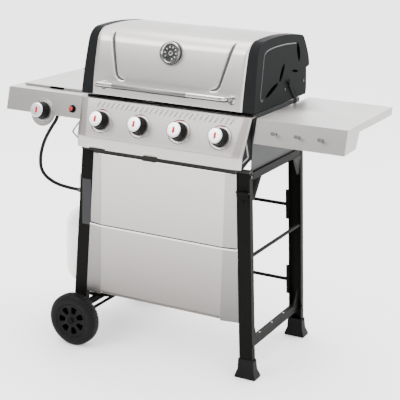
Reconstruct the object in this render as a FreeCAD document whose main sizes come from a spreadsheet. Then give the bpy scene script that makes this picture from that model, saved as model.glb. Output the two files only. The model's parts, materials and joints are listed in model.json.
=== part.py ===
import FreeCAD, Part
import math
import os
import Sketcher
from FreeCAD import Placement, Rotation, Vector

# Four-burner gas barbecue grill on a wheeled cart, in millimetres.
# X runs to the right, Y to the back and Z up, and the origin lies on the floor
# under the middle of the grill's bounding box.

doc = FreeCAD.newDocument("gas_grill")
sheet = doc.addObject("Spreadsheet::Sheet", "dims")

SIZES = {
    # overall
    "half_width": 660, "steel": 1.2, "plate": 2,
    # legs: channels that lean out towards the floor
    "leg_root": 375.2, "leg_lean": 0.06, "leg_wide": 50.4, "leg_deep": 24, "leg_wall": 1.6,
    "leg_top": 738, "front_leg": -232, "rear_leg": 215, "short_leg_end": 62, "long_leg_end": 5,
    # rails, braces and front sheets
    "rail_top": 738, "rail_high": 28, "rail_out": 333, "rail_wide": 24,
    "sill_top": 133, "sill_high": 32, "sill_out": 354, "sill_wide": 18,
    "rod_radius": 5, "side_rod_z": 443, "brace_high_z": 515, "brace_low_z": 220,
    "bar_low": 729, "bar_high": 745, "cover_half": 331, "panel_front": -242, "panel_fold": 245,
    "panel_top": 729, "panel_seam": 465, "panel_low": 213, "panel_hem": 15,
    # feet, wheels and axle
    "foot_high": 69, "foot_flare": 14, "wheel_radius": 98.8, "wheel_x": -331,
    "wheel_front": -310.5, "wheel_wide": 50, "rear_wheel_front": 260.5, "axle_radius": 6,
    "axle_end": 318,
    # firebox and its end castings
    "box_half": 286, "box_front": -199, "box_back": 206, "box_low": 776, "box_rim": 930,
    "back_top": 1030, "end_out": 325, "end_rim": 932,
    # burners and cooking surfaces
    "knob_pitch": 155, "burner_z": 838, "burner_radius": 12.5, "grate_low": 912, "grate_thick": 12,
    "rack_z": 1058,
    # control panel
    "panel_slope": 20.9, "knob_y": -263, "knob_z": 855, "face_top": 927, "face_kink": 798.3,
    "face_low": 757.3, "face_half_top": 331, "face_half_kink": 322.5, "face_half_low": 320,
    # knobs
    "knob_base": 33, "knob_face": 27, "knob_reach": 45, "knob_gap": 6.5, "bezel_radius": 43.6,
    "stem_radius": 4, "stem_reach": 28,
    # lid
    "lid_half": 291, "cap_out": 337, "cap_draft": 0.0524, "cap_wall": 2.3,
    "pivot_y": 53, "pivot_z": 1007, "pin_radius": 4,
    "handle_half": 249, "handle_y": -282, "handle_z": 988, "handle_radius": 7,
    "gauge_x": 8, "gauge_y": -197.5, "gauge_z": 1107, "gauge_radius": 38, "gauge_deep": 22,
    # side shelves
    "shelf_inner": 341, "shelf_top": 925, "shelf_front": -214, "shelf_back": 242,
    "fascia_low": 843.6, "fascia_front": -234.5, "skirt_low": 897, "fascia_slope": 14.14,
    # side burner
    "side_x": -490, "side_y": 15, "side_half": 110, "side_knob_x": -499, "side_knob_y": -231.9,
    "lobe_radius": 55, "side_lid_left": -628, "side_lid_right": -352, "side_lid_front": -160,
    "side_lid_back": 218, "side_lid_top": 935, "side_pivot_y": 226, "side_pivot_z": 931,
    "igniter_x": -376, "igniter_y": -226.8, "igniter_z": 875,
    # grease tray
    "tray_half": 150, "tray_low": 744, "tray_high": 24, "tray_front": -190,
    # gas cylinder
    "tank_x": -363, "tank_y": -10, "tank_radius": 155, "tank_top": 481,
    "outlet_z": 540, "hose_radius": 6.5,
}


class Size:
    """A length that keeps the spreadsheet formula it comes from."""

    def __init__(self, value, formula):
        self.value = value
        self.formula = formula

    def __add__(self, other):
        other = as_size(other)
        return Size(self.value + other.value, f"({self.formula} + {other.formula})")

    def __sub__(self, other):
        other = as_size(other)
        return Size(self.value - other.value, f"({self.formula} - {other.formula})")

    def __mul__(self, other):
        other = as_size(other)
        return Size(self.value * other.value, f"({self.formula} * {other.formula})")

    def __truediv__(self, other):
        other = as_size(other)
        return Size(self.value / other.value, f"({self.formula} / {other.formula})")

    def __rsub__(self, other):
        return as_size(other) - self

    def __neg__(self):
        return Size(-self.value, f"(-1 * {self.formula})")

    __radd__ = __add__
    __rmul__ = __mul__


def as_size(number):
    """Wrap a plain number as a Size."""
    if isinstance(number, Size):
        return number
    return Size(float(number), f"({float(number):.6g})")


class Sheet:
    """The spreadsheet's cells by name."""


def fill_sheet():
    """Write every size to a cell with an alias and give the cells as Size objects."""
    cells = Sheet()
    for row, (name, value) in enumerate(SIZES.items(), start=1):
        sheet.set(f"A{row}", name)
        sheet.set(f"B{row}", str(value))
        sheet.setAlias(f"B{row}", name)
        setattr(cells, name, Size(float(value), f"dims.{name}"))
    doc.recompute()
    return cells


D = fill_sheet()
NODES = []


def bind(thing, property_name, size):
    """Tie one property to the spreadsheet."""
    thing.setExpression(property_name, as_size(size).formula)


class Piece:
    """One PartDesign body, built from sketches on its own origin planes.

    Every feature runs from a low to a high station along the plane's axis, and
    an outline is a list of corner points, or one circle as (u, v, radius).
    """

    AXES = {"XY": "Z", "XZ": "Y", "YZ": "X"}

    def __init__(self, node, keep=True):
        self.body = doc.addObject("PartDesign::Body", node)
        self.body.Label = node
        if keep:
            NODES.append(self.body)

    def plane(self, name):
        roles = {item.Role: item for item in self.body.Origin.OriginFeatures}
        return roles[f"{name}_Plane"]

    def sketch(self, plane, station, outlines, tilt=0, lift=0):
        """Draw the outlines on a plane moved to a station and tilted about its u axis."""
        sketch = self.body.newObject("Sketcher::SketchObject", f"{self.body.Name}_sketch")
        sketch.AttachmentSupport = [(self.plane(plane), "")]
        sketch.MapMode = "FlatFace"
        station = as_size(station)
        lift = as_size(lift)
        sign = -1 if plane == "XZ" else 1
        turn = Rotation(Vector(1, 0, 0), tilt)
        sketch.AttachmentOffset = Placement(Vector(0, lift.value, sign * station.value), turn)
        bind(sketch, "AttachmentOffset.Base.y", lift)
        bind(sketch, "AttachmentOffset.Base.z", station * sign)
        for outline in outlines:
            if isinstance(outline, tuple):
                self.circle(sketch, outline)
            else:
                self.polygon(sketch, outline)
        return sketch

    def pin_point(self, sketch, shape, corner, point):
        """Hold one point of a sketch at its u and v."""
        for kind, size in zip(("DistanceX", "DistanceY"), point):
            size = as_size(size)
            held = Sketcher.Constraint(kind, -1, 1, shape, corner, size.value)
            index = sketch.addConstraint(held)
            sketch.setExpression(f"Constraints[{index}]", size.formula)

    def circle(self, sketch, outline):
        u, v, radius = (as_size(item) for item in outline)
        centre = Vector(u.value, v.value, 0)
        shape = sketch.addGeometry(Part.Circle(centre, Vector(0, 0, 1), radius.value))
        self.pin_point(sketch, shape, 3, (u, v))
        index = sketch.addConstraint(Sketcher.Constraint("Radius", shape, radius.value))
        sketch.setExpression(f"Constraints[{index}]", radius.formula)

    def polygon(self, sketch, corners):
        points = [Vector(as_size(u).value, as_size(v).value, 0) for u, v in corners]
        first = sketch.GeometryCount
        count = len(points)
        for index in range(count):
            sketch.addGeometry(Part.LineSegment(points[index], points[(index + 1) % count]))
        for index in range(count):
            after = (index + 1) % count
            joint = Sketcher.Constraint("Coincident", first + index, 2, first + after, 1)
            sketch.addConstraint(joint)
        for index, corner in enumerate(corners):
            self.pin_point(sketch, first + index, 1, corner)

    def feature(self, kind, sketch, length):
        """Add a pad or pocket of one length."""
        feature = self.body.newObject(f"PartDesign::{kind}", f"{self.body.Name}_{kind}")
        feature.Profile = sketch
        feature.Length = as_size(length).value
        bind(feature, "Length", length)
        self.body.Tip = feature
        return feature

    def pad(self, plane, low, high, *outlines, tilt=0, lift=0):
        start = high if plane == "XZ" else low
        sketch = self.sketch(plane, start, outlines, tilt, lift)
        return self.feature("Pad", sketch, as_size(high) - low)

    def cut(self, plane, low, high, *outlines, tilt=0, lift=0):
        """Pocket from low to high, and check that it removed something."""
        start = low if plane == "XZ" else high
        sketch = self.sketch(plane, start, outlines, tilt, lift)
        doc.recompute()
        before = self.body.Shape.Volume
        feature = self.feature("Pocket", sketch, as_size(high) - low)
        doc.recompute()
        if self.body.Shape.Volume >= before:
            raise ValueError(f"{self.body.Name}: a pocket removed nothing")
        return feature

    def revolve(self, plane, axis, *outlines):
        """Turn an outline a full circle about the sketch's H_Axis or V_Axis."""
        sketch = self.sketch(plane, 0, outlines)
        feature = self.body.newObject("PartDesign::Revolution", f"{self.body.Name}_turned")
        feature.Profile = sketch
        feature.ReferenceAxis = (sketch, [axis])
        feature.Angle = 360
        self.body.Tip = feature
        return feature

    def loft(self, *sections):
        """Join outlines on XY planes, each (station, outline), by straight walls."""
        sketches = [self.sketch("XY", station, [outline]) for station, outline in sections]
        feature = self.body.newObject("PartDesign::AdditiveLoft", f"{self.body.Name}_loft")
        feature.Profile = sketches[0]
        feature.Sections = sketches[1:]
        feature.Ruled = True
        self.body.Tip = feature
        return feature

    def ring(self, features, axis, count):
        """Repeat features round an origin axis."""
        roles = {item.Role: item for item in self.body.Origin.OriginFeatures}
        pattern = self.body.newObject("PartDesign::PolarPattern", f"{self.body.Name}_ring")
        pattern.Originals = list(features)
        pattern.Axis = (roles[f"{axis}_Axis"], [""])
        pattern.Angle = 360
        pattern.Occurrences = count
        self.body.Tip = pattern
        return pattern

    def place(self, x, y, z, tilt=0):
        """Move the whole piece, turned about the X axis by tilt degrees."""
        spot = [as_size(item) for item in (x, y, z)]
        base = Vector(*(item.value for item in spot))
        self.body.Placement = Placement(base, Rotation(Vector(1, 0, 0), tilt))
        for letter, item in zip("xyz", spot):
            bind(self.body, f"Placement.Base.{letter}", item)


def gather(node, pieces):
    """Keep several bodies of one kind together as one node."""
    doc.recompute()
    copies(node, [piece.body.Shape.copy() for piece in pieces])


def rectangle(left, low, right, high):
    """Four corners of an upright rectangle."""
    return [(left, low), (right, low), (right, high), (left, high)]


def feature(node, shape, keep=True):
    """A free-form piece whose shape comes from Part's own functions."""
    item = doc.addObject("Part::Feature", node)
    item.Label = node
    item.Shape = shape
    if keep:
        NODES.append(item)
    return item


def copies(node, shapes):
    """Several equal solids kept together as one node."""
    return feature(node, Part.makeCompound(list(shapes)))


# ---------------------------------------------------------------- curved paths


def corner_arc(before, corner, after, radius):
    """The tangent arc that rounds a corner, as its start, middle and end."""
    back = (before - corner).normalize()
    ahead = (after - corner).normalize()
    half = back.getAngle(ahead) / 2
    reach = radius / math.tan(half)
    inward = (back + ahead).normalize()
    centre = corner + inward * (radius / math.sin(half))
    return corner + back * reach, centre - inward * radius, corner + ahead * reach


def rounded_edges(points, radii):
    """Straight runs joined by tangent arcs; radii are those of the inner points."""
    points = [Vector(*point) for point in points]
    edges = []
    start = points[0]
    for index, radius in enumerate(radii, start=1):
        first, middle, last = corner_arc(points[index - 1], points[index], points[index + 1], radius)
        if (first - start).Length > 1e-4:
            edges.append(Part.LineSegment(start, first).toShape())
        edges.append(Part.Arc(first, middle, last).toShape())
        start = last
    edges.append(Part.LineSegment(start, points[-1]).toShape())
    return edges


def bar(points, radii, radius):
    """A round bar along straight runs joined by tangent arcs."""
    path = Part.Wire(rounded_edges(points, radii))
    heading = (Vector(*points[1]) - Vector(*points[0])).normalize()
    section = Part.Wire(Part.Circle(Vector(*points[0]), heading, radius).toShape())
    return path.makePipeShell([section], True, True)


def rod(start, end, radius):
    """A straight round bar between two points."""
    start = Vector(*start)
    along = Vector(*end) - start
    return Part.makeCylinder(radius, along.Length, start, along)


def block(low, high):
    """A box between two corners."""
    size = [top - bottom for bottom, top in zip(low, high)]
    return Part.makeBox(*size, Vector(*low))


def leg_edge(z):
    """The outer edge of a right-hand leg at a height."""
    return D.leg_root - D.leg_lean * z


# ---------------------------------------------------------------- the cart


def leg(node, side, front, low, opens_back):
    """A channel leg that leans outwards, open to the back or to the front."""
    back = front + D.leg_deep

    def column(inset):
        return [
            (side * (leg_edge(low) - inset), low),
            (side * (leg_edge(D.leg_top) - inset), D.leg_top),
            (side * (leg_edge(D.leg_top) - D.leg_wide + inset), D.leg_top),
            (side * (leg_edge(low) - D.leg_wide + inset), low),
        ]

    piece = Piece(node, keep=False)
    piece.pad("XZ", front, back, column(as_size(0)))
    if opens_back:
        piece.cut("XZ", front + D.leg_wall, back, column(D.leg_wall))
    else:
        piece.cut("XZ", front, back - D.leg_wall, column(D.leg_wall))
    return piece


def legs():
    fronts, rears = [], []
    for side, word, low in ((-1, "left", D.short_leg_end), (1, "right", D.long_leg_end)):
        front = leg(f"front_leg_{word}", side, D.front_leg, low, True)
        back = leg(f"rear_leg_{word}", side, D.rear_leg, low, False)
        if side < 0:
            hole = (D.wheel_x, D.wheel_radius, D.axle_radius)
            front.cut("XZ", D.front_leg, D.front_leg + D.leg_deep, hole)
            back.cut("XZ", D.rear_leg, D.rear_leg + D.leg_deep, hole)
        fronts.append(front)
        rears.append(back)
    gather("front_legs", fronts)
    gather("rear_legs", rears)


def side_rails():
    """Top and bottom rails of the side frames, with a gusset plate at each end."""
    front = D.front_leg + D.leg_deep
    back = D.rear_leg
    tops, sills = [], []
    for side, word in ((-1, "left"), (1, "right")):
        low = D.rail_top - D.rail_high
        inner = D.rail_out - D.rail_wide
        top = Piece(f"top_rail_{word}", keep=False)
        tops.append(top)
        span = sorted((side * inner, side * D.rail_out), key=lambda size: size.value)
        top.pad("YZ", span[0], span[1], rectangle(front, low, back, D.rail_top))
        hollow = sorted((side * inner, side * (D.rail_out - D.plate)), key=lambda size: size.value)
        wall = D.plate
        top.cut("YZ", *hollow, rectangle(front, low + wall, back, D.rail_top - wall))
        skin = sorted((side * (D.rail_out - 1.5), side * D.rail_out), key=lambda size: size.value)
        for end, reach in ((front, 1), (back, -1)):
            gusset = Piece("gusset", keep=False)
            gusset.pad("YZ", *skin, [
                (end, low), (end + 74 * reach, low), (end + 26 * reach, low - 68), (end, low - 68)])
            tops.append(gusset)

        outer = D.sill_out
        span = sorted((side * (outer - D.sill_wide), side * outer), key=lambda size: size.value)
        low = D.sill_top - D.sill_high
        sill = Piece(f"bottom_rail_{word}", keep=False)
        sills.append(sill)
        reach = (D.front_leg + D.leg_wall, D.rear_leg + D.leg_deep - D.leg_wall)
        sill.pad("YZ", *span, rectangle(reach[0], low, reach[1], D.sill_top))
        hollow = sorted((side * (outer - D.sill_wide), side * (outer - wall)), key=lambda size: size.value)
        sill.cut("YZ", *hollow, rectangle(reach[0], low, reach[1], D.sill_top - wall))
        skin = sorted((side * (outer - 1.5), side * outer), key=lambda size: size.value)
        top = D.sill_top
        for end, reach in ((front, 1), (back, -1)):
            gusset = Piece("gusset", keep=False)
            gusset.pad("YZ", *skin, [
                (end, top), (end + 46 * reach, top), (end + 16 * reach, top + 58), (end, top + 58)])
            sills.append(gusset)
        for hole_y in (-119, -10, 96):
            hole = (side * (outer - D.sill_wide / 2), hole_y, 4)
            sill.cut("XY", top - wall, top, hole)
    gather("top_rails", tops)
    gather("bottom_rails", sills)


def cart_braces():
    rod_radius = D.rod_radius.value
    back = D.rear_leg.value
    ends = (D.front_leg.value + D.leg_wall.value, back + D.leg_deep.value - D.leg_wall.value)
    side_x = 340
    side = rod((side_x, ends[0], D.side_rod_z.value), (side_x, ends[1], D.side_rod_z.value), rod_radius)
    rods = [side]
    for z in (D.brace_high_z.value, D.brace_low_z.value):
        inner = (leg_edge(z) - D.leg_wide).value
        rod_end = inner - 6
        solid = rod((-rod_end, back + 4, z), (rod_end, back + 4, z), rod_radius)
        for side_sign in (-1, 1):
            # the end plate follows the leaning edge of the leg
            lean = D.leg_lean.value * 55
            corners = [
                Vector(side_sign * (inner - 10 - lean), back + 2, z + 55),
                Vector(side_sign * (inner - lean), back + 2, z + 55),
                Vector(side_sign * (inner + lean), back + 2, z - 55),
                Vector(side_sign * (inner - 10 + lean), back + 2, z - 55),
            ]
            plate = Part.Face(Part.makePolygon(corners + corners[:1])).extrude(Vector(0, 4, 0))
            solid = solid.cut(plate)
            rods.append(plate)
        rods.append(max(solid.Solids, key=lambda item: item.Volume))
    copies("cart_rods", rods)


def front_sheets():
    """The crossbar and the two stainless sheets that close the cart's front."""
    half = leg_edge(D.leg_top) - D.leg_wide
    crossbar = Piece("front_crossbar")
    outline = rectangle(-half, D.bar_low, half, D.bar_high)
    crossbar.pad("XZ", D.front_leg - 5, D.front_leg + 19, outline)
    inside = rectangle(-half, D.bar_low + D.plate, half, D.bar_high - D.plate)
    crossbar.cut("XZ", D.front_leg - 3, D.front_leg + 19, inside)
    cover = rectangle(-D.cover_half, D.front_leg - 5, D.cover_half, D.front_leg + D.leg_deep)
    crossbar.pad("XY", D.leg_top, D.bar_high, cover)

    for node, low, high in (
        ("upper_front_panel", D.panel_seam + 2, D.panel_top),
        ("lower_front_panel", D.panel_low, D.panel_seam),
    ):
        piece = Piece(node)
        wide = leg_edge(low) - D.leg_wide
        side_y = D.front_leg + 1
        steel = D.steel
        piece.pad("XY", low, high, [
            (-wide, side_y), (-D.panel_fold, D.panel_front),
            (D.panel_fold, D.panel_front), (wide, side_y),
            (wide, side_y + steel), (D.panel_fold, D.panel_front + steel),
            (-D.panel_fold, D.panel_front + steel), (-wide, side_y + steel),
        ])
        for side in (-1, 1):
            piece.cut("XZ", D.panel_front - 2, D.front_leg + 6, [
                (side * (leg_edge(low) - D.leg_wide), low),
                (side * (leg_edge(high) - D.leg_wide), high),
                (side * (wide + 10), high), (side * (wide + 10), low),
            ])
        if node == "lower_front_panel":
            foot = low - D.panel_hem
            inner = D.panel_front + D.panel_hem
            hem = [
                (D.panel_front, low), (inner, foot),
                (inner + steel, foot + steel), (D.panel_front + steel, low + steel),
            ]
            piece.pad("YZ", -D.panel_fold + 1, D.panel_fold - 1, hem)
            for side in (-1, 1):
                piece.pad("XY", foot, low, [
                    (side * wide, side_y), (side * D.panel_fold, D.panel_front),
                    (side * D.panel_fold, D.panel_front + steel), (side * wide, side_y + steel),
                ])
            lip = rectangle(D.panel_front + steel, high - steel, D.panel_front + 12, high)
            piece.pad("YZ", -D.panel_fold + 2, D.panel_fold - 2, lip)


def feet():
    """Flared boots on the two right-hand legs."""
    boots = []
    for word, leg_y in (("front", D.front_leg), ("rear", D.rear_leg)):
        piece = Piece(f"foot_{word}", keep=False)

        def section(z, grow):
            return rectangle(
                leg_edge(z) - D.leg_wide - grow, leg_y - grow,
                leg_edge(z) + grow, leg_y + D.leg_deep + grow)

        high = D.foot_high
        piece.loft(
            (0, section(as_size(0), D.foot_flare)), (8, section(as_size(8), D.foot_flare)),
            (30, section(as_size(30), 6)), (high, section(high, 3.5)))
        low = D.long_leg_end
        piece.cut("XY", low, high, [
            (leg_edge(low) - D.leg_wide - 1, leg_y), (leg_edge(low) + 0.2, leg_y),
            (leg_edge(low) + 0.2, leg_y + D.leg_deep),
            (leg_edge(low) - D.leg_wide - 5, leg_y + D.leg_deep),
            (leg_edge(low) - D.leg_wide - 5, leg_y)])
        boots.append(piece)
    gather("feet", boots)


def wheel(node, front):
    """A moulded wheel with seven windows, turning on the axle."""
    radius = D.wheel_radius
    wide = D.wheel_wide
    piece = Piece(node)
    # half section: u is the distance from the front face, v the radius
    piece.revolve("YZ", "H_Axis", [
        (0, D.axle_radius + 0.06), (0, 17), (4, 20), (4, 60), (0, 64), (0, radius - 12),
        (5, radius), (wide - 5, radius), (wide, radius - 12), (wide, 64), (wide - 6, 60),
        (wide - 6, 20), (wide, 17), (wide, D.axle_radius + 0.06),
    ])
    window = piece.cut("XZ", 0, 14, [(-5, 25), (5, 25), (14, 53), (-14, 53)])
    piece.ring([window], "Y", 7)
    piece.place(D.wheel_x, front, D.wheel_radius)


def running_gear():
    axle = Piece("axle")
    axle.pad("XZ", -D.axle_end, D.axle_end, (D.wheel_x, D.wheel_radius, D.axle_radius))
    axle.pad("XZ", -D.axle_end, D.wheel_front - 0.5, (D.wheel_x, D.wheel_radius, 11))
    axle.pad("XZ", 0.5 - D.wheel_front, D.axle_end, (D.wheel_x, D.wheel_radius, 11))
    wheel("wheel_front", D.wheel_front)
    wheel("wheel_rear", D.rear_wheel_front)


def bottle_opener():
    piece = Piece("bottle_opener")
    face = D.front_leg
    piece.pad("XZ", face - 2, face, rectangle(289, 628, 334, 688))
    piece.pad("XZ", face - 13, face - 2, rectangle(288, 668, 335, 674))
    piece.pad("XZ", face - 13, face - 10, rectangle(292, 650, 331, 668))
    piece.pad("XZ", face - 6, face - 2, (311.5, 681, 4.5))
    piece.pad("XZ", face - 6, face - 2, (311.5, 638, 4.5))


# ---------------------------------------------------------------- shapes shared by the upper part


def outline_face(x, edges):
    """A face on the plane x, from runs of (y, z) points: two make a line, three an arc."""
    shapes = []
    for run in edges:
        points = [Vector(x, y, z) for y, z in run]
        if len(points) == 2:
            shapes.append(Part.LineSegment(*points).toShape())
        else:
            shapes.append(Part.Arc(*points).toShape())
    return Part.Face(Part.Wire(shapes))


def prism(low, high, corners):
    """A straight prism along X with (y, z) corners."""
    points = [Vector(low, y, z) for y, z in corners]
    return Part.Face(Part.makePolygon(points + points[:1])).extrude(Vector(high - low, 0, 0))


def aimed(shape, origin, angle):
    """A shape made along +Z, turned about X by an angle and moved to its origin."""
    shape.rotate(Vector(0, 0, 0), Vector(1, 0, 0), angle)
    shape.translate(Vector(*origin))
    return shape


def mirrored(shape):
    """The same shape on the other side of the grill."""
    return shape.mirror(Vector(0, 0, 0), Vector(1, 0, 0))


PANEL_TURN = 90 - SIZES["panel_slope"]
FASCIA_TURN = 90 - SIZES["fascia_slope"]
KNOB_ROW = [(index - 1.5) * SIZES["knob_pitch"] for index in range(4)]
KNOB_SPOT = (SIZES["knob_y"], SIZES["knob_z"])
SIDE_KNOB = (SIZES["side_knob_x"], SIZES["side_knob_y"], SIZES["knob_z"])


# ---------------------------------------------------------------- the firebox and its inside


def firebox():
    piece = Piece("firebox")
    front = D.box_front
    back = D.box_back
    low = D.box_low
    wall = D.plate
    piece.pad("YZ", -D.box_half, D.box_half, [
        (front, D.box_rim), (front, 800), (-130, low), (95, low),
        (110, 806), (back, 898), (back, D.box_rim)])
    piece.cut("YZ", wall - D.box_half, D.box_half - wall, [
        (front + wall, D.box_rim), (front + wall, 801.4), (wall - 131.6, low + wall),
        (93.8, low + wall), (108.4, 807.2), (back - wall, 898.9), (back - wall, D.box_rim)])
    piece.pad("YZ", wall - D.box_half, D.box_half - wall,
              rectangle(back - wall, 925, back, D.back_top))
    for z in (864, 908):
        piece.pad("YZ", wall - D.box_half, D.box_half - wall,
                  rectangle(front + 1, z, front + 13, z + wall))
    piece.pad("YZ", wall - D.box_half, D.box_half - wall, rectangle(157, 864, 169, 866))
    piece.pad("YZ", wall - D.box_half, D.box_half - wall, rectangle(191, 908, back - 1, 910))
    piece.pad("YZ", wall - D.box_half, D.box_half - wall, rectangle(98, 818, 122, 820))
    holes = [(x, D.burner_z, D.burner_radius + 0.5) for x in KNOB_ROW]
    piece.cut("XZ", front, front + wall, *holes)
    piece.cut("XY", low, low + wall, rectangle(-60, -60, 60, 60))


def end_panels():
    """Castings that close the firebox ends and stand on the cart's top rails."""
    panels = []
    for side, word in ((-1, "left"), (1, "right")):
        piece = Piece(f"end_panel_{word}", keep=False)
        panels.append(piece)
        outer = side * D.end_out
        skin = sorted((outer, outer - side * 3), key=lambda size: size.value)
        piece.pad("YZ", *skin, [
            (-204, D.end_rim), (-204, D.rail_top), (204, D.rail_top), (204, 800),
            (112, 812), (194, 891), (194, D.end_rim)])
        rim = sorted((outer - side * 2, side * D.box_half), key=lambda size: size.value)
        piece.pad("YZ", *rim, rectangle(-204, D.end_rim - 2, 194, D.end_rim))
        arm = sorted((outer, side * D.shelf_inner), key=lambda size: size.value)
        for y in (-174, -94):
            piece.pad("YZ", *arm, rectangle(y, 852, y + 40, 880))
    gather("end_panels", panels)


def burners():
    rest = 820
    tubes = []
    for x in KNOB_ROW:
        z = SIZES["burner_z"]
        tube = rod((x, -213, z), (x, 123, z), SIZES["burner_radius"])
        tube = tube.fuse(block((x - 7, 104, rest), (x + 7, 118, z)))
        tube = tube.cut(rod((x, -214, z), (x, 119, z), SIZES["burner_radius"] - 1.5))
        for step in range(14):
            port = block((x - 14, 20 * step - 165, z + 2), (x + 14, 20 * step - 162, z + 4.5))
            tube = tube.cut(port)
        tubes.append(tube)
    copies("burners", tubes)
    copies("heat_tents", [tent(x) for x in KNOB_ROW])


def tent(x):
    """One bent steel heat tent over a burner."""
    corners = [(-36, 866), (0, 895), (36, 866), (36, 868), (0, 897), (-36, 868)]
    points = [Vector(x + dx, -190, z) for dx, z in corners]
    return Part.Face(Part.makePolygon(points + points[:1])).extrude(Vector(0, 356, 0))


def cooking_grates():
    low = SIZES["grate_low"] - 2
    high = low + SIZES["grate_thick"]
    grates = []
    for left in (-281, 1):
        bars = [block((left + 21 * step, -196, low), (left + 21 * step + 7, 190, high))
                for step in range(14)]
        for y in (-196, -70, 58, 182):
            bars.append(block((left, y, low), (left + 280, y + 8, high)))
        grates.append(bars[0].multiFuse(bars[1:]).removeSplitter())
    copies("cooking_grates", grates)


def warming_rack():
    z = SIZES["rack_z"]
    half = 272
    rods = [rod((-half, y, z), (half, y, z), 2) for y in (82, 104, 126, 148, 170)]
    for side in (-1, 1):
        rods.append(bar([(side * half, 74, z), (side * half, 196, z), (side * half, 196, 910)], [14], 3))
    feature("warming_rack", rods[0].multiFuse(rods[1:]))


def gas_train():
    """The manifold across the front and one valve for every burner."""
    y, z = -234, 822
    pipe = rod((-262, y, z), (262, y, z), 9)
    pipe = pipe.fuse(rod((-286, y, z), (-262, y, z), 12))
    pipe = pipe.removeSplitter()
    train = [pipe]
    for x in (-150, 150):
        train.append(block((x - 12, y, z - 5), (x + 12, SIZES["box_front"], z + 5)).cut(pipe))
    for x in KNOB_ROW:
        shape = Part.makeCylinder(11, 37, Vector(0, 0, -40))
        shape = shape.fuse(Part.makeCylinder(SIZES["stem_radius"], SIZES["stem_reach"] + 4, Vector(0, 0, -4)))
        shape = aimed(shape, (x, *KNOB_SPOT), PANEL_TURN)
        shape = shape.fuse(rod((x, -232, 838), (x, -213, 838), 6))
        shape = shape.fuse(block((x - 7, -241, 822), (x + 7, -227, 838)))
        train.append(shape.cut(pipe))
    copies("gas_manifold", train)


# ---------------------------------------------------------------- the control panel


def control_panel():
    top = SIZES["face_top"]
    kink = SIZES["face_kink"]
    low = SIZES["face_low"]
    steel = SIZES["steel"]

    def section(x, back):
        corners = [
            (SIZES["box_front"], top), (-235.5 + back, top), (-284.6 + back, kink),
            (-284.6 + back, low), (-284.6 + back + steel, low), (-284.6 + back + steel, kink - 0.2),
            (-235 + back + steel, top - steel), (SIZES["box_front"], top - steel)]
        points = [Vector(x, y, z) for y, z in corners]
        return Part.makePolygon(points + points[:1])

    half = SIZES["face_half_top"]
    fold = 288
    sections = [section(-half, 7), section(-fold, 0), section(fold, 0), section(half, 7)]
    panel = Part.makeLoft(sections, True, True)
    for side in (-1, 1):
        wedge = [
            Vector(side * half, -300, top), Vector(side * SIZES["face_half_kink"], -300, kink),
            Vector(side * SIZES["face_half_low"], -300, low - 1), Vector(side * 350, -300, low - 1),
            Vector(side * 350, -300, top)]
        panel = panel.cut(Part.Face(Part.makePolygon(wedge + wedge[:1])).extrude(Vector(0, 200, 0)))
        notch = block((321, -204.5, low), (350, -190, top + 1))
        panel = panel.cut(mirrored(notch) if side < 0 else notch)
    for left, right in ((-270, -203), (-50, 8)):
        panel = panel.cut(block((left, -300, low - 1), (right, -270, low + 4)))
    for x in KNOB_ROW:
        panel = panel.cut(aimed(Part.makeCylinder(6, 20, Vector(0, 0, -10)), (x, *KNOB_SPOT), PANEL_TURN))
    feature("control_panel", panel)

    cheek = prism(319.5, 322, [
        (-290, 760), (-262, 760), (-224, 774), (-190, 781), (-190, 925.6), (-240, 925.6), (-290, 800)])
    cheek = cheek.cut(prism(300, 340, [
        (-400, 700), (-275.9, 700), (-275.9, 799), (-227.5, 925.7), (-227.5, 950), (-400, 950)]))
    copies("cheeks", [cheek, mirrored(cheek)])
    hook = bar([(321, -250, 852), (343.5, -277, 806), (321, -271, 782)], [8], 2.8)
    hook = hook.cut(block((300, -300, 700), (322, -200, 900)))
    copies("side_hooks", [hook, mirrored(hook)])


def bezel(radius, bore, spot, turn):
    """A thin dial plate round a knob stem."""
    ring = Part.makeCylinder(radius, 1.2).cut(Part.makeCylinder(bore, 10))
    return aimed(ring, spot, turn)


def knob(node, spot, turn, base, face):
    """A tapered knob with a grip ridge, bored for its stem."""
    piece = Piece(node)
    bore = D.stem_radius + 0.06
    gap = D.knob_gap
    reach = D.knob_reach
    piece.revolve("XZ", "V_Axis", [
        (bore, gap), (base, gap), (base, gap + 6), (face + 1, reach - 4), (face - 1, reach),
        (0, reach), (0, D.stem_reach + 1), (bore, D.stem_reach + 1)])
    piece.place(*spot, turn)


def knobs():
    rings = []
    for index, x in enumerate(KNOB_ROW, start=1):
        rings.append(bezel(SIZES["bezel_radius"], 6, (x, *KNOB_SPOT), PANEL_TURN))
        spot = (D.knob_pitch * (index - 2.5), D.knob_y, D.knob_z)
        knob(f"knob_{index}", spot, PANEL_TURN, D.knob_base, D.knob_face)
    rings.append(bezel(SIZES["bezel_radius"], 6, SIDE_KNOB, FASCIA_TURN))
    copies("knob_bezels", rings)
    spot = (D.side_knob_x, D.side_knob_y, D.knob_z)
    knob("side_knob", spot, FASCIA_TURN, D.knob_base, D.knob_face)


# ---------------------------------------------------------------- the lid

LID_FRONT = [
    [(-226, 941), (-212.5, 1040), (-194, 1125)], [(-194, 1125), (-178, 1152), (-134, 1170)],
    [(-134, 1170), (-16, 1174), (96, 1168)], [(96, 1168), (140, 1164.3), (183, 1157)],
    [(183, 1157), (198.5, 1152.5), (208, 1143)], [(208, 1143), (232, 1108), (252, 1067)],
    [(252, 1067), (254, 1048)], [(254, 1048), (254, 1041)]]
LID_FOOT = [
    [(254, 1041), (226, 1036)], [(226, 1036), (226, 960)], [(226, 960), (219, 941)],
    [(219, 941), (-226, 941)]]


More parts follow.
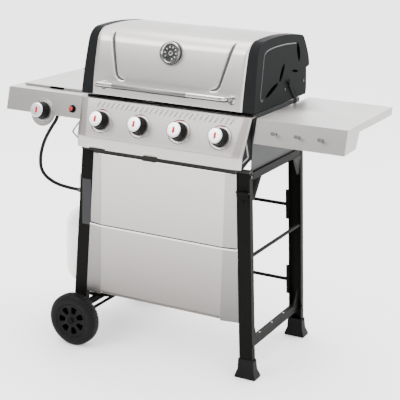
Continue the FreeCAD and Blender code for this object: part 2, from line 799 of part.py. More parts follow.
def lid_solid(low, high, inset):
    """The lid's whole side profile as a prism, shrunk inwards by an inset."""
    face = outline_face(low, LID_FRONT + LID_FOOT)
    if inset:
        face = face.makeOffset2D(-inset)
        sill = face.common(block((low - 1, -260, 943 + inset), (low + 1, 300, 944 + inset))).BoundBox
        foot = prism(low, high, [(sill.YMin, 930), (sill.YMax, 930), (sill.YMax, 946), (sill.YMin, 946)])
        return face.extrude(Vector(high - low, 0, 0)).fuse(foot)
    return face.extrude(Vector(high - low, 0, 0))


def beyond(offset):
    """Everything outside the drafted outer face of the right end cap."""
    cap = SIZES["cap_out"] + offset
    lean = SIZES["cap_draft"]
    points = [Vector(cap + lean * 61, -400, 880), Vector(cap - lean * 319, -400, 1260),
              Vector(cap + 60, -400, 1260), Vector(cap + 60, -400, 880)]
    return Part.Face(Part.makePolygon(points + points[:1])).extrude(Vector(0, 800, 0))


def lid():
    half = SIZES["lid_half"]
    wall = SIZES["cap_wall"]
    skin = lid_solid(-half, half, 0).cut(lid_solid(-half, half, wall))
    skin = skin.cut(block((-half, -150, 930), (half, 300, 1041)))
    skin = skin.cut(block((-half, 200, 1030), (half, 251.7, 1044)))
    feature("lid_skin", skin.removeSplitter())
    shell = lid_solid(half, 345, 0).cut(beyond(0))
    core = lid_solid(half - 1, 345, wall).fuse(block((half - 1, 150, 930), (345, 300, 1041)))
    core = core.fuse(block((half - 1, 200, 1030), (345, 251.7, 1044)))
    cap = shell.cut(core.cut(beyond(-wall)))
    pivot = (SIZES["pivot_y"], SIZES["pivot_z"])
    radius = SIZES["pin_radius"]
    hole = rod((320, *pivot), (345, *pivot), radius + 0.06)
    cap = cap.cut(hole)
    copies("lid_caps", [cap, mirrored(cap)])

    plate = prism(338.2, 340.8, [
        (104, 800), (128, 800), (128, 938), (123.7, 945.6), (50.3, 1021.2), (38.9, 1010), (104, 943)])
    strap = plate.fuse(block((325, 104, 800), (338.2, 128, 812)))
    strap = strap.fuse(rod((328, *pivot), (343, *pivot), radius))
    strap = strap.fuse(rod((340.8, *pivot), (344, *pivot), 8))
    strap = strap.removeSplitter()
    copies("lid_hinges", [strap, mirrored(strap)])


def handle():
    reach = SIZES["handle_half"]
    y, z = SIZES["handle_y"], SIZES["handle_z"]
    radius = SIZES["handle_radius"]
    root = (-214, 978)
    tube = bar([(-reach, *root), (-reach, y, z), (reach, y, z), (reach, *root)], [20, 20], radius)
    body = lid_solid(-300, 300, 0)
    flanges = []
    for side in (-1, 1):
        disc = aimed(Part.makeCylinder(15.5, 9, Vector(0, 0, -4)), (side * reach, -221, 976), 82)
        flanges.append(disc.cut(body))
    feature("handle_tube", tube.cut(body).multiFuse(flanges).removeSplitter())
    grip = rod((-176, y, z), (112, y, z), radius + 2.6)
    feature("handle_grip", grip.cut(rod((-177, y, z), (113, y, z), radius)))


def gauge():
    """The thermometer on the lid: housing, dial, needle and glass."""
    spot = (SIZES["gauge_x"], SIZES["gauge_y"], SIZES["gauge_z"])
    turn = 76
    radius = SIZES["gauge_radius"]
    deep = SIZES["gauge_deep"]
    shell = Part.makeCone(radius + 6, radius, deep - 8, Vector(0, 0, -4))
    shell = shell.fuse(Part.makeCylinder(radius, deep, Vector(0, 0, 0)))
    shell = shell.cut(Part.makeCylinder(radius - 3, deep, Vector(0, 0, 8)))
    shell = shell.fuse(Part.makeCylinder(1.5, 7, Vector(0, 0, 8)))
    feature("gauge_housing", aimed(shell, spot, turn).cut(lid_solid(-100, 100, 0)))
    needle = Part.makeCylinder(4, 1.5, Vector(0, 0, 12))
    needle = needle.fuse(block((-1.2, -10, 12), (1.2, 27, 13.2)))
    needle.rotate(Vector(0, 0, 0), Vector(0, 0, 1), 130)
    feature("gauge_needle", aimed(needle.cut(Part.makeCylinder(1.55, 20)), spot, turn))
    glass = Part.makeCylinder(radius - 3.1, 2, Vector(0, 0, deep - 3.5))
    feature("gauge_glass", aimed(glass, spot, turn))


# ---------------------------------------------------------------- the side shelves


def shelf_shell():
    """The right shelf: top, end caps, rear skirt and leaning front in one shell."""
    inner = SIZES["shelf_inner"]
    outer = SIZES["half_width"]
    top = SIZES["shelf_top"]
    steel = SIZES["steel"]
    front, back = SIZES["shelf_front"], SIZES["shelf_back"]
    foot, low, skirt = SIZES["fascia_front"], SIZES["fascia_low"], SIZES["skirt_low"]
    shell = prism(inner, outer, [
        (front, top), (foot, low), (foot + 108.5, low + 2.4), (foot + 134.5, skirt + 2),
        (back - 4, skirt), (back, top)])
    hollow = prism(inner + steel, outer - steel, [
        (front + 1.5, top - steel), (foot + 1.3, low - 1.6), (foot + 109.5, low - 1.6),
        (foot + 135.5, skirt - 2), (back - 5, skirt - 2), (back - 1.4, top - steel)])
    return shell.cut(hollow)


def shelves():
    feature("shelf_right", shelf_shell())
    shelf = mirrored(shelf_shell())
    x, y, z = SIDE_KNOB
    lobe = Part.makeCylinder(SIZES["lobe_radius"] - 3, 1.2, Vector(0, 0, -1.2))
    lobe = aimed(lobe, (x, y, z - 4), FASCIA_TURN)
    shelf = shelf.fuse(lobe)
    shelf = shelf.cut(aimed(Part.makeCylinder(6, 20, Vector(0, 0, -10)), SIDE_KNOB, FASCIA_TURN))
    spot = (SIZES["igniter_x"], SIZES["igniter_y"], SIZES["igniter_z"])
    shelf = shelf.cut(aimed(Part.makeCylinder(12, 20, Vector(0, 0, -10)), spot, FASCIA_TURN))
    x, y = SIZES["side_x"], SIZES["side_y"]
    half = SIZES["side_half"]
    shelf = shelf.cut(block((x - half, y - half, 920), (x + half, y + half, 930)))
    feature("shelf_left", shelf)

    pegs = []
    for x in (414, 496, 577):
        peg = Part.makeCylinder(4.5, 26).fuse(Part.makeCylinder(7, 4, Vector(0, 0, 22)))
        pegs.append(aimed(peg.fuse(Part.makeCylinder(7.5, 2)), (x, -224.6, 883), FASCIA_TURN))
    copies("tool_pegs", pegs)


HOSE_ROUTE = [
    (-452, -201, 865), (-457, -200, 829), (-489, -194, 790), (-533, -180, 729), (-562, -166, 660),
    (-566, -152, 598), (-528, -128, 556), (-463, -114, 541), (-405, -112, 540)]


def hose_solid():
    """The gas hose from the side burner's valve down to the regulator."""
    points = [Vector(*point) for point in HOSE_ROUTE]
    radii = []
    for index in range(1, len(points) - 1):
        back = points[index - 1] - points[index]
        ahead = points[index + 1] - points[index]
        turn = math.pi - back.getAngle(ahead)
        radii.append(0.45 * min(back.Length, ahead.Length) / math.tan(turn / 2))
    return bar(HOSE_ROUTE, radii, SIZES["hose_radius"])


def side_burner():
    x, y = SIZES["side_x"], SIZES["side_y"]
    half = SIZES["side_half"]
    top = SIZES["shelf_top"]
    bowl = block((x - half - 8, y - half - 8, top), (x + half + 8, y + half + 8, top + 1.2))
    bowl = bowl.fuse(block((x - half, y - half, 872), (x + half, y + half, top)))
    bowl = bowl.cut(block((x - half + 1.5, y - half + 1.5, 873.5), (x + half - 1.5, y + half - 1.5, 940)))
    bowl = bowl.cut(Part.makeCylinder(14.3, 20, Vector(x, y, 860)))
    feature("side_bowl", bowl)
    head = Part.makeCylinder(34, 14, Vector(x, y, 886)).fuse(Part.makeCylinder(14, 30, Vector(x, y, 858)))
    head = head.fuse(Part.makeCone(34, 26, 5, Vector(x, y, 900)))
    feature("side_burner_head", head.removeSplitter())
    level = SIZES["shelf_top"] + 4.4
    reach = half + 4
    rods = []
    for step in (-70, 0, 70):
        rods.append(rod((x - reach, y + step, level), (x + reach, y + step, level), 3))
        rods.append(rod((x + step, y - reach, level), (x + step, y + reach, level), 3))
    feature("side_grate", rods[0].multiFuse(rods[1:]))

    kx, ky, kz = SIDE_KNOB
    valve = Part.makeCylinder(11, 37, Vector(0, 0, -40))
    valve = valve.fuse(Part.makeCylinder(SIZES["stem_radius"], SIZES["stem_reach"] + 4, Vector(0, 0, -4)))
    valve = aimed(valve, SIDE_KNOB, FASCIA_TURN)
    valve = valve.fuse(rod((kx, -201, 848), (kx, -201, 885), 7))
    valve = valve.fuse(Part.makeSphere(7, Vector(kx, -201, 885)))
    valve = valve.fuse(rod((kx, -201, 885), (-452, -201, 885), 7))
    valve = valve.fuse(rod((-452, -201, 892), (-452, -201, 865), 9))
    valve = valve.cut(hose_solid()).removeSplitter()
    duct = bar([(kx, -188, 844), (kx, -100, 846), (x, y - 60, 858), (x, y, 858)], [60, 60], 10)
    duct = duct.cut(valve).cut(head)
    feature("side_valve", valve.fuse(max(duct.Solids, key=lambda solid: solid.Volume)))


def side_lid():
    """The flat cover of the side burner and the hinge along its back."""
    left, right = SIZES["side_lid_left"], SIZES["side_lid_right"]
    front, back = SIZES["side_lid_front"], SIZES["side_lid_back"]
    low = SIZES["shelf_top"] + 0.8
    top = SIZES["side_lid_top"]
    cover = block((left, front, low), (right, back, top))
    cover = cover.makeFillet(4, [edge for edge in cover.Edges if edge.BoundBox.ZMin > top - 1])
    cover = cover.cut(block((left + 1.5, front + 1.5, low - 5), (right - 1.5, back - 1.5, top - 1.5)))
    cover = cover.cut(block((-517, front - 1, low - 1), (-456, front + 5, low + 7)))
    y, z = SIZES["side_pivot_y"], SIZES["side_pivot_z"]
    middle = (left + right) / 2
    barrel = rod((middle - 120, y, z), (middle + 120, y, z), 5)
    barrel = barrel.fuse(block((middle - 120, back - 1.5, z - 2), (middle + 120, y, z + 2)))
    cover = cover.fuse(barrel).cut(rod((left, y, z), (right, y, z), 2.06))
    feature("side_lid", cover)
    pin = rod((middle - 134, y, z), (middle + 134, y, z), 2)
    for side in (-1, 1):
        centre = middle + side * 127
        pin = pin.fuse(rod((centre - 6, y, z), (centre + 6, y, z), 5))
        pin = pin.fuse(block((centre - 6, y - 5, SIZES["shelf_top"]), (centre + 6, y + 5, z)))
    feature("side_lid_hinge", pin)


def igniter():
    spot = (SIZES["igniter_x"], SIZES["igniter_y"], SIZES["igniter_z"])
    body = Part.makeCylinder(14, 3).fuse(Part.makeCylinder(11.9, 40, Vector(0, 0, -40)))
    body = body.cut(Part.makeCylinder(9.3, 40, Vector(0, 0, -30)))
    feature("igniter_body", aimed(body.removeSplitter(), spot, FASCIA_TURN))
    button = Part.makeCylinder(9, 24, Vector(0, 0, -12))
    button = button.makeFillet(2, [edge for edge in button.Edges if edge.BoundBox.ZMin > 11])
    feature("igniter_button", aimed(button, spot, FASCIA_TURN))


# ---------------------------------------------------------------- grease tray and gas


def grease_tray():
    half = SIZES["tray_half"]
    low = SIZES["tray_low"]
    high = low + SIZES["tray_high"]
    front, back = SIZES["tray_front"], 200
    tray = block((-half, front, low), (half, back, high))
    tray = tray.cut(block((2 - half, front + 2, low + 2), (half - 2, back - 2, high + 1)))
    tray = tray.fuse(block((-60, back, high - 6), (60, back + 22, high - 3)))
    tray = tray.cut(Part.makeCylinder(8, 20, Vector(0, 0, low - 5)))
    feature("grease_tray", tray)
    cup = Part.makeCone(32, 38, 46, Vector(0, 0, low - 46))
    cup = cup.cut(Part.makeCone(30.5, 36.5, 46, Vector(0, 0, low - 44.5)))
    feature("grease_cup", cup)
    guides = []
    for side in (-1, 1):
        rail = block((151, -120, 740), (153, 90, 776)).fuse(block((140, -120, 740), (151, 90, 743)))
        guides.append(mirrored(rail) if side < 0 else rail)
    copies("tray_guides", guides)


def tank():
    """The gas cylinder on its round tray, with foot ring, collar and valve."""
    x, y = SIZES["tank_x"], SIZES["tank_y"]
    radius = SIZES["tank_radius"]
    floor = SIZES["sill_top"]
    tray = Part.makeCylinder(116, 14, Vector(x, y, floor))
    feature("tank_tray", tray.cut(Part.makeCylinder(114.5, 14, Vector(x, y, floor + 1.5))))

    foot = Part.makeCylinder(101.5, 22, Vector(x, y, floor + 1.5))
    shell = Piece("tank_body")
    low, top = 145, SIZES["tank_top"]
    shell.revolve("XZ", "V_Axis", [
        (0, low), (60, low + 5), (105, low + 18), (138, low + 42), (radius, low + 80),
        (radius, top - 90), (138, top - 46), (105, top - 20), (60, top - 6), (0, top),
        (0, top - 3), (59, top - 9), (103.6, top - 22.8), (136, top - 48.4), (radius - 3, top - 90.8),
        (radius - 3, low + 80.8), (136, low + 44.4), (103.6, low + 20.8), (59, low + 8), (0, low + 3)])
    shell.place(D.tank_x, D.tank_y, 0)
    doc.recompute()
    solid = shell.body.Shape.copy()
    ring = foot.cut(Part.makeCylinder(99, 30, Vector(x, y, floor))).cut(solid)
    collar = Part.makeCylinder(104, 117, Vector(x, y, 469))
    collar = collar.cut(Part.makeCylinder(101.5, 120, Vector(x, y, 468)))
    gap = [Vector(x, y, 440), Vector(x - 120, y - 90, 440), Vector(x - 120, y - 140, 440),
           Vector(x + 120, y - 140, 440), Vector(x + 120, y - 90, 440)]
    mouth = Part.Face(Part.makePolygon(gap + gap[:1])).extrude(Vector(0, 0, 200))
    collar = collar.cut(mouth)
    slot = block((x - 30, y + 80, 545), (x + 30, y + 120, 572))
    copies("tank_guards", [ring, collar.cut(slot).cut(solid)])

    outlet = SIZES["outlet_z"]
    valve = Part.makeCylinder(15, 78, Vector(x, y, top - 8)).cut(solid)
    valve = max(valve.Solids, key=lambda item: item.Volume)
    valve = valve.fuse(rod((x, y, outlet), (x, y - 50, outlet), 11))
    valve = valve.fuse(Part.makeCylinder(4, 38, Vector(x, y, 548)))
    feature("tank_valve", valve.removeSplitter())
    wheel_top = Part.makeCylinder(26, 14, Vector(x, y, 570))
    wheel_top = wheel_top.makeFillet(4, list(wheel_top.Edges)[:1])
    for step in range(8):
        turn = math.radians(45 * step)
        notch = Part.makeCylinder(5, 30, Vector(x + 29 * math.cos(turn), y + 29 * math.sin(turn), 560))
        wheel_top = wheel_top.cut(notch)
    wheel_top = wheel_top.cut(Part.makeCylinder(4.06, 40, Vector(x, y, 550)))
    feature("tank_handwheel", wheel_top)

    centre = y - 102
    regulator = Part.makeCylinder(32, 30, Vector(x, centre, outlet - 15))
    regulator = regulator.makeFillet(5, [edge for edge in regulator.Edges if len(edge.Vertexes) == 1])
    regulator = regulator.fuse(rod((x, y - 50, outlet), (x, centre, outlet), 14))
    regulator = regulator.fuse(rod((x, centre, outlet), (-405, centre, outlet), 8))
    feature("regulator", regulator.cut(hose_solid()).removeSplitter())


def fasteners():
    """Dome-headed bolts on the outer faces of the cart's corners."""
    bolts = []
    for x, z in ((331, 724), (348, 118)):
        for side in (-1, 1):
            for y in (-221, 227):
                edge = SIZES["leg_root"] - SIZES["leg_lean"] * z
                head = Part.makeCylinder(6, 3.5, Vector(side * (edge - 0.3), y, z), Vector(side, 0, 0))
                if side < 0 and z < 200:
                    continue
                bolts.append(head)
    legs_solid = [item.Shape for item in NODES if item.Label in ("front_legs", "rear_legs")]
    copies("cart_bolts", [trimmed(bolt, legs_solid) for bolt in bolts])


def trimmed(shape, others):
    """A shape less every solid it meets."""
    for other in others:
        shape = shape.cut(other)
    return shape


def check_and_write():
    """Stop on any broken object, then write one file for every piece."""
    doc.recompute()
    for item in doc.Objects:
        if "Invalid" in item.State or "Error" in item.State:
            raise ValueError(f"{item.Label}: {item.State}")
    os.makedirs("parts", exist_ok=True)
    for item in NODES:
        shape = item.Shape
        if shape.isNull() or not shape.isValid() or not shape.Solids:
            raise ValueError(f"{item.Label} has no sound solid")
        print(item.Label, len(shape.Solids), round(shape.Volume))
        shape.exportStep(f"parts/{item.Label}.step")


def build():
    legs()
    side_rails()
    cart_braces()
    front_sheets()
    feet()
    running_gear()
    bottle_opener()
    doc.recompute()
    firebox()
    end_panels()
    burners()
    cooking_grates()
    warming_rack()
    gas_train()
    control_panel()
    knobs()
    lid()
    handle()
    gauge()
    shelves()
    side_burner()
    side_lid()
    igniter()
    grease_tray()
    tank()
    feature("gas_hose", hose_solid())
    doc.recompute()
    fasteners()
    check_and_write()


build()
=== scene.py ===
import json
import math

import bmesh
import bpy
import numpy as np
from mathutils import Matrix, Vector


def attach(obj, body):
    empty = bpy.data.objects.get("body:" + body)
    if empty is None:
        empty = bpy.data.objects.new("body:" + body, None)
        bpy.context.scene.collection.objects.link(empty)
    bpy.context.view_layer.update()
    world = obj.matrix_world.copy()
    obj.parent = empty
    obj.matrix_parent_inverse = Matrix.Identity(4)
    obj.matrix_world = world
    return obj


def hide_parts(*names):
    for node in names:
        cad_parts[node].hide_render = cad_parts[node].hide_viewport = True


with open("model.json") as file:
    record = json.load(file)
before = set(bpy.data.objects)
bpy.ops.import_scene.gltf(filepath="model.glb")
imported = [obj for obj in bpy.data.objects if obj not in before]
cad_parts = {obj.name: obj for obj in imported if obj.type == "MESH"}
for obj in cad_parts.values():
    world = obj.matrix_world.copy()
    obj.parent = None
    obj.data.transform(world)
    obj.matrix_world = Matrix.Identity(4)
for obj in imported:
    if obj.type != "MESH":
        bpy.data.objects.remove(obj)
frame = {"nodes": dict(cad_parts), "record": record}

# ---------------------------------------------------------------- the frame's facts

MM = 0.001
SLOT_OF = {entry["node"]: entry["material_slot"] for entry in frame["record"]["subparts"]}
BODY_OF = {
    node: body for body, nodes in frame["record"]["behaviour"]["bodies"].items() for node in nodes}
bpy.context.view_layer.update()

# how far the faces of the control panel and of the left shelf's fascia lean, from straight up
PANEL_TURN = math.radians(69.1)
FASCIA_TURN = math.radians(75.86)
# where the knobs and the igniter meet those faces, in millimetres
KNOB_X = (-232.5, -77.5, 77.5, 232.5)
KNOB_Y, KNOB_Z = -263, 855
SIDE_KNOB = (-499, -231.9, 855)
IGNITER = (-376, -226.8, 875)


# ---------------------------------------------------------------- materials


def new_material(name):
    material = bpy.data.materials.new(name)
    material.use_nodes = True
    shader = material.node_tree.nodes["Principled BSDF"]
    return material, material.node_tree, shader


def link(tree, source, target):
    tree.links.new(source, target)


def put(node, values):
    """Set a node's inputs by name."""
    for key, value in values.items():
        node.inputs[key].default_value = value


def noise(tree, scale, stretch=(1, 1, 1), **values):
    """Procedural noise on object coordinates, stretched along the axes."""
    coords = tree.nodes.new("ShaderNodeTexCoord")
    mapping = tree.nodes.new("ShaderNodeMapping")
    node = tree.nodes.new("ShaderNodeTexNoise")
    put(mapping, {"Scale": stretch})
    put(node, {"Scale": scale, **values})
    link(tree, coords.outputs["Object"], mapping.inputs["Vector"])
    link(tree, mapping.outputs["Vector"], node.inputs["Vector"])
    return node.outputs["Fac"]


def spread(tree, source, low, high, start=0, end=1):
    """Map a value that runs from start to end onto a range."""
    ramp = tree.nodes.new("ShaderNodeMapRange")
    put(ramp, {"From Min": start, "From Max": end, "To Min": low, "To Max": high})
    link(tree, source, ramp.inputs["Value"])
    return ramp.outputs["Result"]


def part_of(tree, source, axis):
    """One axis of a vector."""
    split = tree.nodes.new("ShaderNodeSeparateXYZ")
    link(tree, source, split.inputs["Vector"])
    return split.outputs[axis]


def mixed(tree, factor, first, second):
    """Two colours blended by a factor; each is a colour or another node's output."""
    mix = tree.nodes.new("ShaderNodeMix")
    mix.data_type = "RGBA"
    link(tree, factor, mix.inputs["Factor"])
    for key, colour in (("A", first), ("B", second)):
        if isinstance(colour, bpy.types.NodeSocket):
            link(tree, colour, mix.inputs[key])
        else:
            mix.inputs[key].default_value = (*colour, 1)
    return mix.outputs["Result"]


def bump(tree, shader, source, strength, distance):
    node = tree.nodes.new("ShaderNodeBump")
    put(node, {"Strength": strength, "Distance": distance})
    link(tree, source, node.inputs["Height"])
    link(tree, node.outputs["Normal"], shader.inputs["Normal"])


def brushed(name, colour, roughness, along="x", fade=None):
    """Brushed sheet metal with its grain along one axis.

    A painted shade of (low, high, least) darkens it by height. The metal keeps the share least of
    its colour at low and all of it at high, both in metres on object coordinates.
    """
    material, tree, shader = new_material(name)
    grain = noise(tree, 22, {"x": (1, 60, 60), "y": (60, 1, 60)}[along], Detail=3)
    metal = mixed(tree, grain, [value * 0.93 for value in colour], colour)
    # painted shade: the colour darkened by height
    if fade:
        low, high, least = fade
        height = part_of(tree, tree.nodes.new("ShaderNodeTexCoord").outputs["Object"], "Z")
        metal = mixed(tree, spread(tree, height, least, 1, low, high), (0, 0, 0), metal)
    link(tree, metal, shader.inputs["Base Color"])
    rough = spread(tree, grain, roughness - 0.05, roughness + 0.08)
    link(tree, rough, shader.inputs["Roughness"])
    put(shader, {"Metallic": 1, "Anisotropic": 0.5})
    bump(tree, shader, grain, 0.12, 0.0002)
    return material


def painted(name, colour, roughness, coat=0.0, sheen=0.25):
    """A coated or moulded surface with a fine orange peel; sheen is how much it reflects."""
    material, tree, shader = new_material(name)
    speck = noise(tree, 700, Detail=2)
    wear = noise(tree, 9, Detail=4)
    shade = mixed(tree, wear, [v * 0.9 for v in colour], [min(v * 1.08, 1) for v in colour])
    link(tree, shade, shader.inputs["Base Color"])
    rough = spread(tree, wear, roughness - 0.04, roughness + 0.05)
    link(tree, rough, shader.inputs["Roughness"])
    put(shader, {"Coat Weight": coat, "Specular IOR Level": sheen})
    bump(tree, shader, speck, 0.15, 0.0002)
    return material


def grey_ramp(tree, source, stops):
    """A ramp of greys, given as (place, value) pairs."""
    ramp = tree.nodes.new("ShaderNodeValToRGB")
    elements = ramp.color_ramp.elements
    for index, (place, value) in enumerate(stops):
        stop = elements[index] if index < 2 else elements.new(place)
        stop.position = place
        stop.color = (value, value * 0.985, value * 0.965, 1)
    link(tree, source, ramp.inputs["Fac"])
    return ramp.outputs["Color"]


def plated(name, colour, roughness, painted_reflection_bands=None):
    """Bright metal; given greys for faces that look from straight down to straight up, it gets
    painted reflection and shade.
    """
    material, tree, shader = new_material(name)
    haze = noise(tree, 30, Detail=2)
    put(shader, {"Base Color": (*colour, 1), "Metallic": 1})
    # painted reflection and shade by which way the face looks
    if painted_reflection_bands:
        facing = tree.nodes.new("ShaderNodeNewGeometry").outputs["Normal"]
        upward = spread(tree, part_of(tree, facing, "Z"), 0, 1, -1)
        link(tree, grey_ramp(tree, upward, painted_reflection_bands), shader.inputs["Base Color"])
    rough = spread(tree, haze, roughness, roughness + 0.06)
    link(tree, rough, shader.inputs["Roughness"])
    return material


def cast(name, colour, roughness):
    """Rough cast metal."""
    material, tree, shader = new_material(name)
    lump = noise(tree, 240, Detail=5)
    put(shader, {"Roughness": roughness})
    shade = mixed(tree, lump, [v * 0.7 for v in colour], colour)
    link(tree, shade, shader.inputs["Base Color"])
    bump(tree, shader, lump, 0.5, 0.0006)
    return material


def clear_glass(name):
    material, tree, shader = new_material(name)
    put(shader, {"Transmission Weight": 1, "IOR": 1.2, "Base Color": (0.97, 0.98, 0.98, 1)})
    smear = spread(tree, noise(tree, 60), 0.01, 0.05)
    link(tree, smear, shader.inputs["Roughness"])
    return material


# painted reflection and shade for chrome and the grip: greys by which way a face looks, from
# straight down to straight up
CHROME_PAINTED_REFLECTION = (
    (0, 0.025), (0.22, 0.03), (0.32, 0.10), (0.42, 0.38), (0.60, 0.52), (0.68, 0.12), (0.76, 0.08),
    (0.84, 0.30), (0.92, 0.85), (1, 0.60))
GRIP_PAINTED_REFLECTION = (
    (0, 0.015), (0.25, 0.022), (0.36, 0.10), (0.55, 0.17), (0.75, 0.13), (0.90, 0.24), (1, 0.22))
# one material for each slot of the record
MATERIALS = {
    "stainless": brushed("stainless", (0.64, 0.615, 0.60), 0.40),
    "grip_steel": plated("grip_steel", (0.15, 0.145, 0.14), 0.34, GRIP_PAINTED_REFLECTION),
    "chrome": plated("chrome", (0.38, 0.375, 0.37), 0.13, CHROME_PAINTED_REFLECTION),
    "dark_enamel": painted("dark_enamel", (0.0115, 0.012, 0.0125), 0.45, sheen=0.006),
    "black_paint": painted("black_paint", (0.0045, 0.0046, 0.0042), 0.45, sheen=0.03),
    "black_bolt": painted("black_bolt", (0.008, 0.008, 0.008), 0.35),
    "boot_plastic": painted("boot_plastic", (0.0055, 0.0055, 0.0055), 0.55, sheen=0.08),
    "wheel_plastic": painted("wheel_plastic", (0.0045, 0.0045, 0.0048), 0.50, sheen=0.08),
    "knob_plastic": painted("knob_plastic", (0.004, 0.004, 0.0045), 0.35, sheen=0.10),
    "firebox_enamel": painted("firebox_enamel", (0.018, 0.018, 0.018), 0.30, coat=0.3),
    "bare_steel": brushed("bare_steel", (0.55, 0.54, 0.52), 0.40, "y"),
    "iron": cast("iron", (0.025, 0.025, 0.026), 0.45),
    "brass": plated("brass", (0.62, 0.46, 0.20), 0.28),
    "tray_steel": brushed("tray_steel", (0.60, 0.60, 0.60), 0.42, "y"),
    "needle_dark": painted("needle_dark", (0.05, 0.05, 0.05), 0.40),
    "button_red": painted("button_red", (0.36, 0.010, 0.025), 0.30, coat=0.1),
    "gauge_glass": clear_glass("gauge_glass"),
    "white_paint": painted("white_paint", (0.80, 0.80, 0.79), 0.25, coat=0.4),
    "wheel_blue": painted("wheel_blue", (0.03, 0.03, 0.033), 0.40),
    "alloy": plated("alloy", (0.07, 0.07, 0.07), 0.42),
    "hose_rubber": painted("hose_rubber", (0.0045, 0.0045, 0.0045), 0.45, sheen=0.08),
}
# finishes for single pieces that differ from their slot's material
DIAL_BLACK = painted("dial_black", (0.012, 0.012, 0.014), 0.35)
DIAL_PALE = painted("dial_pale", (0.70, 0.70, 0.68), 0.40)
FACE_SILVER = plated("face_silver", (0.86, 0.86, 0.87), 0.32)
MARK_RED = painted("mark_red", (0.42, 0.008, 0.025), 0.45, sheen=0.1)
# painted highlight: lighter enamel for the end caps' raised ridge
ENAMEL_RIDGE_HIGHLIGHT = painted("enamel_ridge_highlight", (0.045, 0.048, 0.046), 0.30, sheen=0.15)
# painted shade for the right flanks of the panel's strokes
STROKE_FLANK_SHADE = brushed("stroke_flank_shade", (0.15, 0.143, 0.14), 0.45)
# painted shade: a darker copy of chrome for the gauge's base ring and barrel and for the side hooks
CHROME_SHADE = plated("chrome_shade", (0.17, 0.17, 0.167), 0.16)
# painted shade: the lid's steel darker over its top
LID_STEEL = brushed("lid_steel", (0.64, 0.612, 0.597), 0.40, fade=(1.172, 1.148, 0.50))
# painted shade: the front sheets darker towards the bottom
PANEL_STEEL = brushed("panel_steel", (0.58, 0.545, 0.525), 0.42, fade=(-0.02, 0.73, 0.05))
# painted shade: a darker copy of the front sheets' steel for their folded sides, also darker
# towards the bottom
FOLD_SHADE_STEEL = brushed("fold_shade_steel", (0.42, 0.405, 0.39), 0.42, fade=(-0.02, 0.73, 0.05))
END_GREY = painted("end_grey", (0.034, 0.036, 0.036), 0.40, sheen=0.08)
# painted shade: the control panel's slope darker than the lip below its bend
CONTROL_STEEL = brushed(
    "control_steel", (0.50, 0.47, 0.455), 0.42, fade=(0.812, 0.790, 0.74))
SHELF_STEEL = brushed("shelf_steel", (0.42, 0.405, 0.395), 0.42)
# painted shade over the front sheets' bottom hem
HEM_SHADE = brushed("hem_shade", (0.15, 0.138, 0.122), 0.50)
# painted shadow along the seam between the front sheets
SEAM_SHADOW = painted("seam_shadow", (0.020, 0.018, 0.017), 0.50, sheen=0.1)
BAR_GREY = painted("bar_grey", (0.020, 0.020, 0.017), 0.45, sheen=0.1)
# painted shade for the faces deep in the lid's pressed line
GROOVE_SHADE = brushed("groove_shade", (0.09, 0.086, 0.083), 0.45)
SHADOW_BLACK = painted("shadow_black", (0.001, 0.001, 0.001), 0.70, sheen=0.0)
# the finishes of whole nodes drawn from their CAD shape
FINISHES = {
    # the side hooks take the darker chrome, painted shade
    "front_crossbar": BAR_GREY, "side_hooks": CHROME_SHADE, "end_panels": END_GREY,
    "upper_front_panel": PANEL_STEEL, "lower_front_panel": PANEL_STEEL, "shelf_right": SHELF_STEEL,
    "shelf_left": SHELF_STEEL, "side_lid": SHELF_STEEL,
}


# ---------------------------------------------------------------- mesh helpers


def turn_about_x(spot, angle):
    """Local +Z leans by the angle towards the front, at a spot in millimetres."""
    return Matrix.Translation(Vector(spot) * MM) @ Matrix.Rotation(angle, 4, "X")


def new_object(name, data):
    obj = bpy.data.objects.new(name, data)
    bpy.context.scene.collection.objects.link(obj)
    return obj


def own(obj, body, slot_name, material=None, extra=()):
    """Give a piece its body and its materials; the slot's material serves when no other is given.
    """
    obj.data.materials.clear()
    obj.data.materials.append(material or MATERIALS[slot_name])
    for item in extra:
        obj.data.materials.append(item)
    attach(obj, body)
    return obj


def make(name, verts, faces, matrix=None, sharp=35):
    """A mesh object from points in millimetres; edges above the sharp angle stay sharp."""
    mesh = bpy.data.meshes.new(name)
    mesh.from_pydata([Vector(v) * MM for v in verts], [], faces)
    if matrix is not None:
        mesh.transform(matrix)
    work = bmesh.new()
    work.from_mesh(mesh)
    bmesh.ops.remove_doubles(work, verts=work.verts, dist=1e-6)
    bmesh.ops.recalc_face_normals(work, faces=work.faces)
    work.to_mesh(mesh)
    work.free()
    mesh.shade_smooth()
    mesh.set_sharp_from_angle(angle=math.radians(sharp))
    return new_object(name, mesh)


def placed(shape, place):
    """A shape's points moved by a matrix, still in millimetres."""
    verts, faces = shape
    return [tuple(place @ (Vector(v) * MM) / MM) for v in verts], faces


def prism(ring, low, high):
    """A flat outline of (x, y) points between two heights."""
    count = len(ring)
    verts = [(x, y, z) for z in (low, high) for x, y in ring]
    faces = [tuple(range(count)), tuple(range(count, 2 * count))]
    faces += [(i, (i + 1) % count, count + (i + 1) % count, count + i) for i in range(count)]
    return verts, faces


def strip(count):
    """The faces of a ribbon whose points come in pairs."""
    return [(2 * i, 2 * i + 1, 2 * i + 3, 2 * i + 2) for i in range(count)]


def join_meshes(parts):
    """Points and faces of several pieces as one list pair."""
    verts, faces = [], []
    for more_verts, more_faces in parts:
        start = len(verts)
        verts.extend(more_verts)
        faces.extend([tuple(index + start for index in face) for face in more_faces])
    return verts, faces


